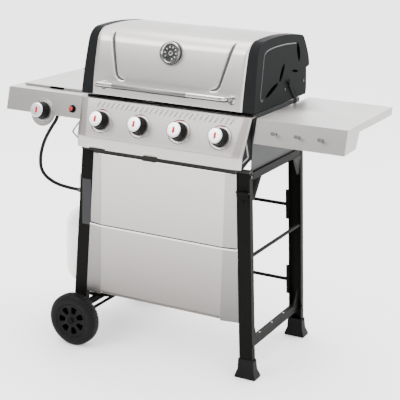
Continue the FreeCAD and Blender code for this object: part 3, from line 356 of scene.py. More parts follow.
def lathe(profile, count=64, wobble=None, closed=False):
    """Turn (radius, height) points about Z; wobble changes the radius with the angle."""
    verts, faces = [], []
    rows = len(profile)
    for step in range(count):
        angle = 2 * math.pi * step / count
        for radius, height in profile:
            if wobble:
                radius = wobble(radius, height, step)
            verts.append((radius * math.cos(angle), radius * math.sin(angle), height))
    for step in range(count):
        here, after = step * rows, (step + 1) % count * rows
        for row in range(rows if closed else rows - 1):
            up = (row + 1) % rows
            faces.append((here + row, after + row, after + up, here + up))
    return verts, faces


def box_mesh(low, high):
    verts = [(x, y, z) for x in (low[0], high[0]) for y in (low[1], high[1])
             for z in (low[2], high[2])]
    faces = [(0, 1, 3, 2), (4, 6, 7, 5), (0, 4, 5, 1), (2, 3, 7, 6), (0, 2, 6, 4), (1, 5, 7, 3)]
    return verts, faces


def bevel(obj, width, segments, angle):
    """Round the edges of a piece that are sharper than an angle."""
    modifier = obj.modifiers.new("edges", "BEVEL")
    modifier.width = width * MM
    modifier.segments = segments
    modifier.limit_method = "ANGLE"
    modifier.angle_limit = math.radians(angle)
    modifier.use_clamp_overlap = True


def level_shading(obj):
    """Keep large flat faces flat in shading beside their rounded edges."""
    modifier = obj.modifiers.new("flat_faces", "WEIGHTED_NORMAL")
    modifier.mode = "FACE_AREA"
    modifier.weight = 50
    modifier.keep_sharp = True


def face_towards(obj, direction):
    """Flip an open sheet whose faces look away from a direction."""
    total = sum((face.normal * face.area for face in obj.data.polygons), Vector())
    if total.dot(Vector(direction)) < 0:
        obj.data.flip_normals()
    return obj


def thicken(obj, thickness, offset=-1):
    """Give an open sheet its thickness: on the inner side, or to both sides with offset 0."""
    modifier = obj.modifiers.new("thickness", "SOLIDIFY")
    modifier.thickness = thickness * MM
    modifier.offset = offset


def rounded_path(points, radii, count=10):
    """Points along straight runs joined by arcs, one radius for each inner point."""
    points = [Vector(point) for point in points]
    path = [points[0]]
    for index, radius in enumerate(radii, start=1):
        corner = points[index]
        back = (points[index - 1] - corner).normalized()
        ahead = (points[index + 1] - corner).normalized()
        half = back.angle(ahead) / 2
        centre = corner + (back + ahead).normalized() * (radius / math.sin(half))
        start = corner + back * (radius / math.tan(half)) - centre
        end = corner + ahead * (radius / math.tan(half)) - centre
        sweep = start.angle(end)
        for step in range(count + 1):
            share = step / count
            path.append(centre + (start * math.sin((1 - share) * sweep)
                                  + end * math.sin(share * sweep)) / math.sin(sweep))
    return path + [points[-1]]


def swept_tube(path, radius, count=40):
    """A round tube along a path, with closed ends."""
    verts, faces = [], []
    along = (path[1] - path[0]).normalized()
    side = along.orthogonal().normalized()
    for index, point in enumerate(path):
        before = path[max(index - 1, 0)]
        after = path[min(index + 1, len(path) - 1)]
        heading = (after - before).normalized()
        side = along.rotation_difference(heading) @ side
        along = heading
        other = along.cross(side)
        for step in range(count):
            angle = 2 * math.pi * step / count
            spoke = side * math.cos(angle) + other * math.sin(angle)
            verts.append(tuple(point + radius * spoke))
    for ring in range(len(path) - 1):
        for step in range(count):
            a, b = ring * count + step, ring * count + (step + 1) % count
            faces.append((a, b, b + count, a + count))
    faces.append(tuple(range(count)))
    faces.append(tuple(range(len(verts) - count, len(verts))))
    return verts, faces


def dressed(node, width, segments=2, angle=28):
    """A CAD node's own shape with its edges rounded, standing for that node."""
    work = bmesh.new()
    work.from_mesh(frame["nodes"][node].data)
    bmesh.ops.remove_doubles(work, verts=work.verts, dist=2e-6)
    bmesh.ops.dissolve_limit(
        work, angle_limit=math.radians(1), verts=work.verts, edges=work.edges)
    sharp = [edge for edge in work.edges
             if len(edge.link_faces) == 2 and edge.calc_face_angle(0) > math.radians(angle)]
    bmesh.ops.bevel(
        work, geom=sharp, offset=width * MM, segments=segments, profile=0.5, affect="EDGES",
        clamp_overlap=True)
    bmesh.ops.recalc_face_normals(work, faces=work.faces)
    mesh = bpy.data.meshes.new(f"{node}_shown")
    work.to_mesh(mesh)
    work.free()
    mesh.shade_smooth()
    mesh.set_sharp_from_angle(angle=math.radians(32))
    obj = new_object(f"{node}_shown", mesh)
    level_shading(obj)
    own(obj, BODY_OF[node], SLOT_OF[node], FINISHES.get(node))
    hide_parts(node)
    return obj


# ---------------------------------------------------------------- the lid


def arc_through(start, middle, end, count):
    """Points along the circle through three (y, z) points."""
    (ax, ay), (bx, by), (cx, cy) = start, middle, end
    d = 2 * (ax * (by - cy) + bx * (cy - ay) + cx * (ay - by))
    a, b, c = (x**2 + y**2 for x, y in (start, middle, end))
    ux = (a * (by - cy) + b * (cy - ay) + c * (ay - by)) / d
    uy = (a * (cx - bx) + b * (ax - cx) + c * (bx - ax)) / d
    radius = math.hypot(ax - ux, ay - uy)
    angles = [math.atan2(y - uy, x - ux) for x, y in (start, middle, end)]
    sweep = (angles[2] - angles[0]) % (2 * math.pi)
    if (angles[1] - angles[0]) % (2 * math.pi) > sweep:
        sweep -= 2 * math.pi
    return [(ux + radius * math.cos(angles[0] + sweep * i / count),
             uy + radius * math.sin(angles[0] + sweep * i / count)) for i in range(count)]


LID_HALF = 291
# the lid's section as arcs: first, middle and last (y, z) point, and the number of steps
LID_RUNS = [
    ((-226, 941), (-212.5, 1040), (-194, 1125), 90), ((-194, 1125), (-178, 1152), (-134, 1170), 36),
    ((-134, 1170), (-16, 1174), (96, 1168), 24), ((96, 1168), (140, 1164.3), (183, 1157), 10),
    ((183, 1157), (198.5, 1152.5), (208, 1143), 8), ((208, 1143), (232, 1108), (252, 1067), 10)]


def lid_profile():
    """The (y, z) points of the lid's section, from its front edge over to its rear edge."""
    points = []
    for start, middle, end, count in LID_RUNS:
        points.extend(arc_through(start, middle, end, count))
    return points + [(252, 1067), (254, 1048), (254, 1041)]


# the pressed line on the lid's front, as (x, z) points of its right half
GROOVE = [(233, 1163), (229, 1140), (220, 1100), (210, 1060), (203, 1032), (198, 1016),
          (190, 1006), (178, 1002), (160, 1001)]
# the pressed line's depth and spread, and the depth past which its faces get painted shade
GROOVE_DEPTH, GROOVE_SPREAD, GROOVE_SHADE_FROM = 4.0, 4.8, 1.3


def groove_depth(x, y, z):
    """How deep the pressed line on the lid's front is at a point."""
    if y >= -130 or not 155 < abs(x) < 243:
        return 0
    point = np.array((abs(x), z))
    best = 1e9
    for (ax, az), (bx, bz) in zip(GROOVE, GROOVE[1:]):
        a, b = np.array((ax, az), float), np.array((bx, bz), float)
        share = np.clip((point - a) @ (b - a) / ((b - a) @ (b - a)), 0, 1)
        best = min(best, np.linalg.norm(point - a - share * (b - a)))
    fade = min(1.0, max(0.0, (abs(x) - 158) / 30)) * min(1.0, max(0.0, (1166 - z) / 20))
    return GROOVE_DEPTH * math.exp(-((best / GROOVE_SPREAD) ** 2)) * fade


def lid_skin():
    """The stainless sheet of the lid, with fine columns where its front is pressed and painted
    shade deep in the pressed line.
    """
    profile = lid_profile()
    xs = sorted({round(v, 2) for v in list(np.linspace(-LID_HALF, LID_HALF, 40))
                 + [s * v for s in (-1, 1) for v in np.arange(156, 242, 1.5)]})
    verts, faces = [], []
    count = len(profile)
    for x in xs:
        for index, (y, z) in enumerate(profile):
            before = profile[max(index - 1, 0)]
            after = profile[min(index + 1, count - 1)]
            along = Vector((after[0] - before[0], after[1] - before[1])).normalized()
            deep = groove_depth(x, y, z)
            verts.append((x, y + along[1] * deep, z - along[0] * deep))
    for column in range(len(xs) - 1):
        for row in range(count - 1):
            a = column * count + row
            faces.append((a, a + 1, a + count + 1, a + count))
    obj = make("lid_sheet", verts, faces)
    face_towards(obj, (0, -1, 1))
    own(obj, "lid", "stainless", LID_STEEL, (GROOVE_SHADE,))
    # painted shade on the faces deep in the pressed line
    for face in obj.data.polygons:
        if groove_depth(*(face.center / MM)) > GROOVE_SHADE_FROM:
            face.material_index = 1
    thicken(obj, 2.3)
    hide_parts("lid_skin")


CAP_OUT, CAP_DRAFT = 337, 0.0524


def cap_x(z):
    """How far out an end cap's face is at a height."""
    return CAP_OUT - CAP_DRAFT * (z - 940)


# the raised line on an end cap, as (y, z) points
CAP_RIDGE = [
    (-158, 979), (-168, 973), (-177, 985), (-171, 1019), (-165, 1039), (-158, 1070), (-152, 1095),
    (-147, 1116), (-141, 1126), (-130, 1132), (-110, 1137), (-50, 1141), (38, 1140), (90, 1137),
    (128, 1134)]
# the painted shadow of each recess, as its centre line of (y, z) points and its half widths; the
# first two are upright
CAP_RECESS_SHADOWS = [
    ([(145, 1134), (148, 1118), (153, 1098), (157, 1080), (158, 1066)], [3, 12, 14, 10, 2]),
    ([(22, 1075), (14, 1062), (4, 1046), (-6, 1031), (-15, 1019)], [3, 11, 13, 11, 6]),
    ([(94, 1041), (108, 1039), (121, 1037), (134, 1035), (147, 1033)], [1.5, 4, 5, 4, 1.5]),
    ([(56, 1012), (72, 998), (90, 982), (106, 968), (124, 953)], [5, 9, 10, 9, 5])]
# the painted shadow along the crease, as its centre line and half widths
CAP_CREASE_SHADOW = ([(-34, 1014), (-60, 1006), (-86, 998), (-110, 990), (-134, 982)], [4, 8, 9, 8, 3])
CAP_SCREWS = ((28, 984), (197, 992))
PATCH_LIFT = 0.25


def ribbon(side, line, widths, sideways):
    """A flat tapered patch of painted shadow on an end cap, from its centre line and half widths.
    """
    verts = []
    for (y, z), half in zip(line, widths):
        for sign in (-1, 1):
            dy, dz = (sign * half, 0) if sideways else (0, sign * half)
            verts.append((side * (cap_x(z + dz) + PATCH_LIFT), y + dy, z + dz))
    return verts, strip(len(line) - 1)


def smooth_line(points, widths, count=6):
    """Extra points between a line's points, with the widths carried along."""
    line, spans = [], []
    last = len(points) - 1
    for index in range(last):
        p0, p1 = points[max(index - 1, 0)], points[index]
        p2, p3 = points[index + 1], points[min(index + 2, last)]
        for step in range(count):
            t = step / count
            line.append(tuple(
                0.5 * (2 * b + (c - a) * t + (2 * a - 5 * b + 4 * c - d) * t * t
                       + (3 * b - a - 3 * c + d) * t ** 3)
                for a, b, c, d in zip(p0, p1, p2, p3)))
            spans.append(widths[index] + (widths[index + 1] - widths[index]) * t)
    return line + [points[-1]], spans + [widths[-1]]


def cap_lines():
    """The pressed ridge of each end cap with a painted highlight, flat patches of painted shadow in
    each recess and along the crease, and its screws.
    """
    for side, word in ((-1, "left"), (1, "right")):
        points, _ = smooth_line(CAP_RIDGE, [1] * len(CAP_RIDGE))
        path = [Vector((side * (cap_x(z) - 1.2), y, z)) for y, z in points]
        ridge = make(f"cap_ridge_{word}", *swept_tube(path, 2.4, 16))
        # the ridge's lighter enamel is a painted highlight
        own(ridge, "lid", "dark_enamel", ENAMEL_RIDGE_HIGHLIGHT)
        recess_shadows = [ribbon(side, *smooth_line(*recess), index < 2)
                    for index, recess in enumerate(CAP_RECESS_SHADOWS)]
        crease = ribbon(side, *smooth_line(*CAP_CREASE_SHADOW), False)
        for kind, patch in (("recess", join_meshes(recess_shadows)), ("crease", crease)):
            # flat dark patches: painted shadow in each recess and along the crease
            dark = make(f"cap_{kind}_{word}", *patch)
            own(face_towards(dark, (side, 0, 0)), "lid", "dark_enamel", SHADOW_BLACK)
        for index, (y, z) in enumerate(CAP_SCREWS):
            head = lathe([(0, 2.4), (3, 2.2), (5.2, 1.2), (6, 0), (6, -1)], 24)
            place = Matrix.Translation(Vector((side * cap_x(z), y, z)) * MM)
            place = place @ Matrix.Rotation(side * math.pi / 2, 4, "Y")
            own(make(f"cap_screw_{word}_{index}", *head, place), "lid", "black_bolt")


def lid_handle():
    """The bent tube, its brushed sleeve and the round flanges that hold it to the lid."""
    y, z = -282, 988
    reach, foot_y, foot_z = 249, -216, 978.3
    corners = [(-reach, foot_y, foot_z), (-reach, y, z), (reach, y, z), (reach, foot_y, foot_z)]
    tube = make("handle_bar", *swept_tube(rounded_path(corners, [20, 20]), 9.2))
    own(tube, "lid", "chrome")
    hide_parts("handle_tube")
    flange = lathe([(0, 6), (9.4, 6), (9.8, 5.4), (11, 4.6), (13, 3.9), (14.8, 2.6), (15.5, 0.8),
                    (15.5, -2)], 64)
    flanges = [placed(flange, turn_about_x((x, -221, 976), math.radians(82)))
               for x in (-reach, reach)]
    rings = make("handle_flanges", *join_meshes(flanges))
    own(rings, "lid", "chrome")
    profile = [(9.25, 0), (9.5, 0), (9.9, 0.6), (9.9, 144), (9.9, 287.4), (9.5, 288), (9.25, 288)]
    place = Matrix.Translation(Vector((-176, y, z)) * MM) @ Matrix.Rotation(math.pi / 2, 4, "Y")
    sleeve = make("handle_sleeve", *lathe(profile, 48), place)
    own(sleeve, "lid", "grip_steel")
    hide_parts("handle_grip")


def gauge():
    """Stepped chrome housing, marked dial, painted shadow on its rim and painted shade on its base
    ring and barrel.
    """
    spot = turn_about_x((8, -197.5, 1107), math.radians(76))
    profile = [
        (43.6, -3), (43.6, 1.5), (42.6, 3.6), (40.5, 5), (38.6, 5.4), (38, 6.2), (38, 17),
        (37.4, 20.4), (36.4, 21.8), (35.4, 21.8), (35, 21), (35, 16.4), (33.6, 16), (31, 14.4),
        (29, 12.2), (28.2, 10.5), (28.2, 9)]
    housing = make("gauge_case", *lathe(profile, 96), spot)
    own(housing, "lid", "chrome", extra=(CHROME_SHADE, SHADOW_BLACK))
    for face in housing.data.polygons:
        middle = spot.inverted() @ face.center / MM
        radius = math.hypot(middle.x, middle.y)
        # painted shade on the base ring and the barrel
        if radius > 37.8:  # the base ring and the barrel
            face.material_index = 1
        # painted shadow on the top of the rim
        elif 35.2 < radius < 36.6 and middle.z > 20:  # the top of the rim
            face.material_index = 2
    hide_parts("gauge_housing")
    # a painted shadow line where the barrel meets the base ring
    line = make("gauge_shadow_line", *lathe([(38.05, 7.4), (38.9, 6.4), (40, 5.35)], 96), spot)
    own(line, "lid", "chrome", SHADOW_BLACK)
    top, raised = 9.6, 9.9
    dial = make("gauge_dial", *lathe([(0, top), (28.4, top), (28.4, 8)], 96), spot)
    own(dial, "lid", "chrome", DIAL_BLACK)
    marks = [petal(17.5, 24, 2.6, math.radians(-70 + step * 35), 9.5, raised)
             for step in range(9)]
    marks.append(lathe([(5.2, raised), (7.6, raised), (7.6, 9.5)], 48))
    marks += [turned_bar(25.6, 27.2, 0.3, math.radians(step * 10), 9.5, 9.8)
              for step in range(36)]
    ticks = make("gauge_marks", *join_meshes(marks), spot)
    own(ticks, "lid", "chrome", DIAL_PALE)


def turned(points, angle):
    """Flat (x, y) points turned about the middle of a dial."""
    c, s = math.cos(angle), math.sin(angle)
    return [(x * c - y * s, x * s + y * c) for x, y in points]


def turned_bar(inner, outer, half, angle, low, high):
    """A thin radial bar on a dial."""
    ring = [(inner, -half), (outer, -half), (outer, half), (inner, half)]
    return prism(turned(ring, angle), low, high)


def petal(inner, outer, half, angle, low, high):
    """A leaf-shaped mark on a dial."""
    steps = 8
    ring = [(inner + (outer - inner) * i / steps, half * math.sin(math.pi * i / steps))
            for i in range(steps + 1)]
    ring += [(x, -y) for x, y in reversed(ring[1:-1])]
    return prism(turned(ring, angle), low, high)


# ---------------------------------------------------------------- the control panel and knobs


# heights of the control panel's top edge, bend and lower edge, and the y of its face there
PANEL_TOP, PANEL_BEND, PANEL_FOOT = 926.9, 798.3, 757.3
PANEL_DROP = PANEL_TOP - PANEL_BEND
PANEL_TOP_Y, PANEL_LOW_Y = -235.5, -284.6


def rounded_outline(points, radii, count=6):
    """Flat (y, z) points with the inner corners rounded."""
    path = rounded_path([(0, y, z) for y, z in points], radii, count)
    return [(point.y, point.z) for point in path]


def slope_share(z):
    """How far down the panel's slope a height is: 0 at its top edge, 1 at its bend."""
    return (PANEL_TOP - z) / PANEL_DROP


def panel_fold(z):
    """Half the width of the panel's flat middle at a height."""
    return 304 - 19 * min(1.0, slope_share(z))


def panel_half(z):
    """Half the panel's whole width at a height."""
    if z > PANEL_BEND:
        return 331 - 8.5 * slope_share(z)
    return 322.5 - 2.5 * (PANEL_BEND - z) / (PANEL_BEND - PANEL_FOOT)


def panel_side(x, z):
    """How far the panel's folded sides stand back at a point."""
    past = abs(x) - panel_fold(z)
    return 0.11 * (past + math.hypot(past, 3.0)) if past > -12 else 0.0


def panel_y(x, z):
    """The y of the control panel's sloping face at a point."""
    return PANEL_TOP_Y + (PANEL_LOW_Y - PANEL_TOP_Y) * slope_share(z) + panel_side(x, z)


# the notches in the panel's lower edge, from x to x
NOTCHES = ((-270, -203), (-50, 8))


def control_panel():
    """The folded stainless panel with its notched lower edge."""
    profile = rounded_outline(
        [(-204.7, PANEL_TOP), (PANEL_TOP_Y, PANEL_TOP), (PANEL_LOW_Y, PANEL_BEND),
         (PANEL_LOW_Y, PANEL_FOOT)], [2.5, 7])
    between = [(PANEL_LOW_Y, z) for z in (785, 775, PANEL_FOOT + 4)]
    profile = profile[:-1] + between + [profile[-1]]
    fixed = sorted({*range(-270, 271, 18), -203, -50, 8})
    near = [-7, -4.5, -2, 0, 2, 4.5, 7]
    rows = []
    for y, z in profile:
        fold, half = panel_fold(z), panel_half(z)
        right = [fold + step for step in near] + [(fold + 7 + half) / 2, half]
        xs = [-value for value in reversed(right)] + fixed + right
        rows.append([(x, y + panel_side(x, z), z) for x in xs])
    verts = [point for row in rows for point in row]
    count = len(rows[0])
    faces = []
    for row in range(len(rows) - 1):
        for column in range(count - 1):
            a = row * count + column
            middle = (verts[a][0] + verts[a + 1][0]) / 2
            if row == len(rows) - 2 and any(left < middle < right for left, right in NOTCHES):
                continue
            faces.append((a, a + 1, a + count + 1, a + count))
    obj = make("control_face", verts, faces, sharp=50)
    face_towards(obj, (0, -1, 0.3))
    thicken(obj, 1.2)
    own(obj, "cart", "stainless", CONTROL_STEEL)
    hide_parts("control_panel")


def panel_marks():
    """The row of pressed slanting strokes with painted shade on their right flanks, and the thin
    arc above each knob.
    """
    strokes = []
    flanks = [(3 * i + j, 3 * i + j + 1, 3 * i + j + 4, 3 * i + j + 3)
              for i in range(3) for j in (0, 1)]
    last = 27
    for step in range(last + 1):
        x = -262 + 520.5 * step / last
        stroke = []
        for share in (0, 0.06, 0.94, 1):
            z = 899.5 + 20 * share
            centre = x + 12.5 * share
            half, lift = (1.0, 0.25) if share in (0, 1) else (2.4, 1.5)
            y = panel_y(centre, z)
            stroke += [(centre - half, y + 0.1, z),
                       (centre + half * 0.3, y - lift, z + lift * 0.36),
                       (centre + half, y + 0.1, z)]
        strokes.append((stroke, flanks + [(0, 1, 2), (9, 10, 11)]))
    marks = make("panel_strokes", *join_meshes(strokes), sharp=20)
    own(face_towards(marks, (0, -1, 0.3)), "cart", "stainless", extra=(STROKE_FLANK_SHADE,))
    # painted shade on the flanks that face right
    for face in marks.data.polygons:
        if face.normal.x > 0.05:
            face.material_index = 1
    arc = make("dial_arcs", *join_meshes([dial_arc(x) for x in KNOB_X]))
    own(face_towards(arc, (0, -1, 0.3)), "cart", "chrome", MARK_RED)


def dial_arc(x0):
    """A thin curved mark above a knob, on the panel's slope."""
    verts = []
    steps = 16
    for i in range(steps + 1):
        angle = math.radians(66 + 50 * i / steps)
        half = math.sin(math.pi * i / steps) + 0.2
        for radius in (38.5 - half, 38.5 + half):
            verts.append((radius * math.cos(angle), radius * math.sin(angle), 1.15))
    return placed((verts, strip(steps)), turn_about_x((x0, KNOB_Y, KNOB_Z), PANEL_TURN))


def bezels():
    """Shallow dial plates, each with a thin ring of painted shadow round it."""
    plates, lines = [], []
    plate = [(6.5, 0.2), (6.5, 1.0), (39.3, 1.0), (39.8, 0.5)]
    lip = [(42.0, 0.5), (42.5, 1.0), (43.2, 0.8), (43.6, 0.1)]
    spots = [((x, KNOB_Y, KNOB_Z), PANEL_TURN) for x in KNOB_X] + [(SIDE_KNOB, FASCIA_TURN)]
    for spot, turn in spots:
        place = turn_about_x(spot, turn)
        plates += [placed(lathe(profile, 96), place) for profile in (plate, lip)]
        # a ring of painted shadow round each plate
        lines.append(placed(lathe([(39.7, 0.55), (42.1, 0.55)], 96), place))
    obj = make("dial_plates", *join_meshes(plates))
    own(obj, "cart", "chrome", MATERIALS["stainless"])
    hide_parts("knob_bezels")
    ring = make("dial_shadow_rings", *join_meshes(lines))
    own(ring, "cart", "chrome", SHADOW_BLACK)


def knob(name, node, spot, turn):
    """A tapered knob: black grip with flutes, silver face and a plain red bar."""
    place = turn_about_x(spot, turn)
    body = BODY_OF[node]
    profile = [(4.2, 6.6), (32.2, 6.6), (33, 7.6), (33, 11), (32.2, 12.6), (30.4, 22), (29.0, 34),
               (28.2, 40), (27.8, 42.0), (27.2, 43.2), (26.2, 43.8)]

    def flute(radius, height, step):
        if 13 < height < 41 and step % 8 < 2:
            return radius - 0.9
        return radius

    grip = make(name, *lathe(profile, 144, flute), place, sharp=45)
    own(grip, body, "knob_plastic")
    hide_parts(node)
    cap = [(0, 44.95), (21, 44.9), (24.6, 44.6), (26, 43.9), (26.4, 42.6)]
    face = make(f"{name}_face", *lathe(cap, 96), place)
    own(face, body, "knob_plastic", FACE_SILVER)
    mark = make(f"{name}_mark", *capsule(4.5, 22, 44.6, 45.1), place)
    own(mark, body, "knob_plastic", MARK_RED)


def capsule(half, high, low_z, top_z):
    """A flat upright bar with round ends."""
    ring = []
    reach = high / 2 - half
    for step in range(17):
        angle = math.pi * step / 16
        ring.append((half * math.cos(angle), reach + half * math.sin(angle)))
    ring += [(-x, -y) for x, y in ring]
    return prism(ring, low_z, top_z)


def knobs():
    for index, x in enumerate(KNOB_X, start=1):
        knob(f"burner_knob_{index}", f"knob_{index}", (x, KNOB_Y, KNOB_Z), PANEL_TURN)
    knob("side_burner_knob", "side_knob", SIDE_KNOB, FASCIA_TURN)


# ---------------------------------------------------------------- wheels


def wheel(node, front):
    """A moulded wheel: toothed tyre, stepped rim and a web with seven windows, with painted shadow
    behind them.
    """
    place = Matrix.Translation(Vector((-331, front, 98.8)) * MM)
    place = place @ Matrix.Rotation(-math.pi / 2, 4, "X")
    body = BODY_OF[node]
    wide = 50
    profile = [
        (64, 1), (66, 0), (80, 0), (86, 1.5), (90, 4), (94.5, 6.5), (97.6, 9), (98.8, 13),
        (98.8, wide - 13), (97.6, wide - 9), (94.5, wide - 6.5), (86, wide - 1), (66, wide),
        (64, wide - 1), (62.5, wide - 4), (62, wide - 8), (62, 6), (62.5, 3)]

    def tread(radius, height, step):
        if radius > 93 and step % 4 >= 2:
            return radius - 2.6 if 8 < height < wide - 8 else radius - 1.6
        return radius

    tyre = make(f"{node}_tyre", *lathe(profile, 216, tread, closed=True), place, sharp=28)
    own(tyre, body, "wheel_plastic")
    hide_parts(node)

    verts, faces = [], []
    per_window = 24
    segments = 7 * per_window
    radii = [18, 20, 23, 26, 28, 33, 40, 47, 51, 53, 55, 58, 63]
    for radius in radii:
        dish = 4 + 3 * math.sin(math.pi * (radius - 18) / 45)
        for step in range(segments):
            angle = 2 * math.pi * step / segments
            verts.append((radius * math.cos(angle), radius * math.sin(angle), dish))
    for row in range(len(radii) - 1):
        middle = (radii[row] + radii[row + 1]) / 2
        width = 0.30 if 28 < middle < 51 else 0.22
        here, above = row * segments, (row + 1) * segments
        for step in range(segments):
            past = abs((step % per_window) / per_window - 0.48)
            if 26 < middle < 54 and past < width:
                continue
            after = (step + 1) % segments
            faces.append((here + step, here + after, above + after, above + step))
    web = make(f"{node}_web", verts, faces, place, sharp=40)
    thicken(web, 6, 0)
    bevel(web, 0.8, 2, 40)
    own(web, body, "wheel_plastic")
    # painted shadow behind the windows
    shadow_disc = lathe([(17, 14), (63, 14), (63, 16), (17, 16)], 72, closed=True)
    own(make(f"{node}_window_shadow", *shadow_disc, place), body, "wheel_plastic", SHADOW_BLACK)
    hub = [(6.2, 1), (10, 0.6), (16, 1), (19.5, 2.4), (20.5, 5), (20.5, 12), (17, 14),
           (17, wide - 2), (15, wide - 0.5), (6.2, wide - 0.5)]
    own(make(f"{node}_hub", *lathe(hub, 72), place), body, "wheel_plastic")


def running_gear():
    wheel("wheel_front", -310.5)
    wheel("wheel_rear", 260.5)
    dressed("axle", 1.5, 3)


# ---------------------------------------------------------------- gas


def tank():
    """The cylinder with domed ends and its welded middle seam, and what it carries."""
    radius = 154.6
    bottom, bottom_rise, top, top_rise = 226, 80, 391, 89.5
    quarter = [math.pi / 2 * step / 12 for step in range(13)]
    profile = [(radius * math.sin(a), bottom - bottom_rise * math.cos(a)) for a in quarter]
    profile += [(radius, 304), (radius + 1, 306), (radius + 1, 312), (radius, 314)]
    profile += [(radius * math.cos(a), top + top_rise * math.sin(a)) for a in quarter]
    place = Matrix.Translation(Vector((-363, -10, 0)) * MM)
    body = make("cylinder_shell", *lathe(profile, 128), place)
    own(body, "cart", "white_paint")
    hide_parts("tank_body")
    dressed("tank_guards", 0.6)
    dressed("tank_tray", 0.5)
    dressed("tank_valve", 0.8)
    dressed("tank_handwheel", 1.2, 3)
    dressed("regulator", 0.8)


# the hose's centreline, from the side burner's valve down and round to the regulator
HOSE = [
    (-452, -201, 865), (-457, -200, 829), (-489, -194, 790), (-533, -180, 729), (-562, -166, 660),
    (-566, -152, 598), (-528, -128, 556), (-463, -114, 541), (-405, -112, 540)]


def hose():
    """The gas hose as one smooth curve, with a ribbed ferrule on each end."""
    data = bpy.data.curves.new("gas_line", "CURVE")
    data.dimensions = "3D"
    data.bevel_depth = 6.5 * MM
    data.bevel_resolution = 6
    data.use_fill_caps = True
    spline = data.splines.new("NURBS")
    spline.points.add(len(HOSE) - 1)
    for item, point in zip(spline.points, HOSE):
        item.co = (*(Vector(point) * MM), 1)
    spline.order_u = 3
    spline.use_endpoint_u = True
    spline.resolution_u = 16
    curve = new_object("gas_line", data)
    own(curve, "cart", "hose_rubber")
    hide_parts("gas_hose")
    points = [Vector(p) for p in HOSE]
    profile = [(6.4, 0.4), (8.6, 0.4), (9, 1), (9, 5), (8.2, 6), (8.2, 8), (9, 9), (9, 13),
               (8.2, 14), (8.2, 16), (9, 17), (9, 19), (8.4, 20), (6.4, 20)]
    runs = ((points[0], points[1]), (points[-1], points[-2]))
    for index, (start, end) in enumerate(runs):
        along = (end - start).normalized()
        turn = Vector((0, 0, 1)).rotation_difference(along).to_matrix().to_4x4()
        place = Matrix.Translation(start * MM) @ turn
        ferrule = make(f"hose_ferrule_{index}", *lathe(profile, 48), place)
        own(ferrule, "cart", "alloy")


# ---------------------------------------------------------------- the rest of the grill


def igniter():
    """A dark collar and a black button with a red front."""
    place = turn_about_x(IGNITER, FASCIA_TURN)
    collar = [(9.3, 0.2), (9.3, 2.6), (12.4, 3), (13.6, 2.2), (14, 0.4), (11.9, 0.3), (11.9, -39.6),
              (9.3, -39.6)]
    ring = make("igniter_collar", *lathe(collar, 48, closed=True), place)
    own(ring, "cart", "black_paint")
    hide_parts("igniter_body")
    side = [(0, -12), (9, -12), (9, 10.6), (8.6, 11.6), (7.8, 12)]
    button = make("igniter_side", *lathe(side, 48), place)
    own(button, "button", "button_red", MATERIALS["knob_plastic"])
    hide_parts("igniter_button")
    front = make("igniter_front", *lathe([(0, 12.0), (6.8, 12.0), (7.8, 11.7)], 48), place)
    own(front, "button", "button_red")


def small_parts():
    """The plain label on the left leg and the shadowed finger slot of the side lid."""
    label = make("leg_label", *box_mesh((-331, -232.5, 455), (-294, -232.0, 626)))
    own(label, "cart", "black_paint", DIAL_BLACK)
    slot = make("lid_slot", *box_mesh((-516, -158.4, 926), (-457, -156.6, 930.5)))
    own(slot, "side_cover", "stainless", SHADOW_BLACK)


# the front sheets: the y just before them, where they fold, and how far their sides reach
FRONT_Y, FOLD_X, LOWER_REACH, UPPER_REACH = -242.5, 245, 312, 296.8


def leg_x(z):
    """Where the front legs cover the sides of the front sheets, at a height."""
    return 324.4 - 0.06 * z


def fold_y(x, reach):
    """Just in front of a folded front sheet, whose side runs back to x = reach."""
    return FRONT_Y + 11 * max(0, abs(x) - FOLD_X) / (reach - FOLD_X)


def front_band(name, low, high, material):
    """A thin band across the folded front sheets, between two heights."""
    verts = []
    for x in (-leg_x(high), -FOLD_X, FOLD_X, leg_x(high)):
        verts += [(x, fold_y(x, LOWER_REACH), z) for z in (low, high)]
    band = make(name, verts, strip(3))
    own(face_towards(band, (0, -1, 0)), "cart", "stainless", material)


def front_folds():
    """Painted shade on the front sheets' folded sides, a darker copy of their steel."""
    for side, word in ((-1, "left"), (1, "right")):
        verts = []
        for low, high, reach in ((198.5, 458, LOWER_REACH), (468.6, 728, UPPER_REACH)):
            verts += [(side * x, fold_y(x, reach), z)
                      for z in (low, high) for x in (FOLD_X + 0.5, leg_x(z) - 0.2)]
        fold = make(f"front_fold_{word}", verts, [(0, 1, 3, 2), (4, 5, 7, 6)])
        own(face_towards(fold, (0, -1, 0)), "cart", "stainless", FOLD_SHADE_STEEL)


def front_lines():
    """Painted shadow along the seam, the turned lip under it and painted shade over the hem at the
    bottom.
    """
    lip, seam, seam_top = 458.5, 464.6, 468.2
    front_band("front_seam_shadow", seam, seam_top, SEAM_SHADOW)
    front_band("front_lip", lip, seam, MATERIALS["stainless"])
    half, back, low, high = 243, -227.6, 197.6, 212.5
    rim = [(-half, FRONT_Y, high), (half, FRONT_Y, high), (half, back, low), (-half, back, low)]
    hem = make("front_hem_shade", rim, [(0, 1, 2, 3)])
    own(face_towards(hem, (0, -1, -1)), "cart", "stainless", HEM_SHADE)


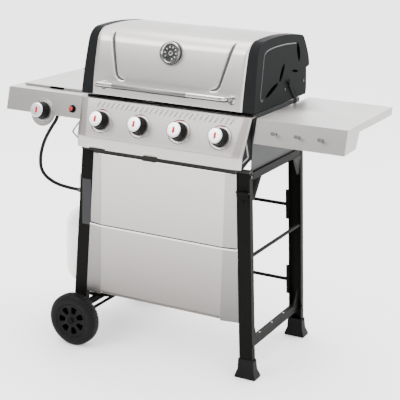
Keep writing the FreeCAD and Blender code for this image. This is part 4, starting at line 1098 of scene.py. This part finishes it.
# nodes drawn from their CAD shape, each with the width of its rounded edges
PLAIN_NODES = (
    ("front_legs", 1.2), ("rear_legs", 1.2), ("top_rails", 0.6), ("bottom_rails", 0.6),
    ("front_crossbar", 0.8), ("upper_front_panel", 0.5), ("lower_front_panel", 0.5),
    ("feet", 2.0), ("bottle_opener", 0.8), ("cheeks", 0.5), ("side_hooks", 0.5),
    ("shelf_left", 0.55), ("shelf_right", 0.55), ("side_lid", 0.6), ("side_lid_hinge", 0.5),
    ("tool_pegs", 0.8), ("end_panels", 0.8), ("firebox", 0.6), ("cart_bolts", 0.8),
    ("side_bowl", 0.5), ("side_burner_head", 0.8), ("side_grate", 0.5), ("side_valve", 0.5),
    ("gas_manifold", 0.5), ("burners", 0.3), ("heat_tents", 0.3), ("cooking_grates", 1.0),
    ("warming_rack", 0.3), ("grease_tray", 0.6), ("grease_cup", 0.4), ("tray_guides", 0.5),
    ("gauge_needle", 0.15), ("gauge_glass", 0.3))


def cart_rods():
    """The cart's thin rods, drawn a little thicker than in CAD, as in the photo."""
    swell = dressed("cart_rods", 0.5).modifiers.new("swell", "DISPLACE")
    swell.strength = 1.5 * MM
    swell.mid_level = 0


def build():
    lid_skin()
    dressed("lid_caps", 2.5, 3, 25)
    cap_lines()
    dressed("lid_hinges", 0.5)
    lid_handle()
    gauge()
    control_panel()
    panel_marks()
    bezels()
    knobs()
    running_gear()
    tank()
    hose()
    igniter()
    small_parts()
    front_folds()
    front_lines()
    for node, width in PLAIN_NODES:
        dressed(node, width)
    cart_rods()


build()


# ---------------------------------------------------------------- floor, light and camera


def floor():
    """A wide white floor."""
    mesh = bpy.data.meshes.new("floor")
    size = 14
    mesh.from_pydata(
        [(-size, -size, 0), (size, -size, 0), (size, size, 0), (-size, size, 0)], [],
        [(0, 1, 2, 3)])
    obj = new_object("floor", mesh)
    material, tree, shader = new_material("floor_white")
    put(shader, {"Base Color": (0.93, 0.93, 0.93, 1), "Roughness": 0.7})
    obj.data.materials.append(material)


def area_light(name, spot, target, size, power):
    """A soft box at a spot, turned to a target, in metres and watts."""
    data = bpy.data.lights.new(name, "AREA")
    data.shape = "RECTANGLE"
    data.size, data.size_y = size
    data.energy = power
    obj = new_object(name, data)
    obj.location = spot
    aim = Vector(target) - Vector(spot)
    obj.rotation_euler = aim.to_track_quat("-Z", "Y").to_euler()


# brightness of the world in front of the grill, from straight down to straight up
FRONT_SKY = (
    (0.0, 0.34), (0.42, 0.34), (0.46, 0.05), (0.60, 0.05), (0.66, 0.28), (0.8, 0.42), (1.0, 0.8))


def studio():
    """White surroundings behind, a darker band in front, and three soft boxes."""
    world = bpy.data.worlds.new("studio")
    world.use_nodes = True
    tree = world.node_tree
    shader = tree.nodes["Background"]
    heading = tree.nodes.new("ShaderNodeTexCoord").outputs["Generated"]
    front = grey_ramp(tree, spread(tree, part_of(tree, heading, "Z"), 0, 1, -1), FRONT_SKY)
    behind = spread(tree, part_of(tree, heading, "Y"), 0, 1, -0.30, 0.25)
    link(tree, mixed(tree, behind, front, (1, 1, 1)), shader.inputs["Color"])
    put(shader, {"Strength": 4.5})
    bpy.context.scene.world = world
    area_light("key", (-1.8, -3.2, 3.4), (0, 0, 0.7), (2.4, 2.0), 120)
    area_light("fill", (3.4, -2.4, 2.2), (0, 0, 0.7), (2.2, 2.2), 70)
    area_light("top", (0, 0.6, 4.2), (0, 0, 0.6), (3.0, 2.2), 110)


def camera():
    """The photo's view, as solved together with the sizes."""
    azimuth, elevation, roll = (math.radians(v) for v in (26.76, 16.10, 1.68))
    target = Vector((-0.92, 64.26, 523.1)) * MM
    distance = 4.23352
    back = Vector((math.sin(azimuth) * math.cos(elevation),
                   -math.cos(azimuth) * math.cos(elevation), math.sin(elevation)))
    right = (-back).cross(Vector((0, 0, 1))).normalized()
    up = right.cross(-back)
    turned_right = math.cos(roll) * right + math.sin(roll) * up
    turned_up = -math.sin(roll) * right + math.cos(roll) * up
    data = bpy.data.cameras.new("camera")
    data.lens = 101.74
    data.sensor_width = 36
    obj = new_object("camera", data)
    matrix = Matrix((turned_right, turned_up, back)).transposed().to_4x4()
    matrix.translation = target + back * distance
    obj.matrix_world = matrix
    bpy.context.scene.camera = obj


floor()
studio()
camera()
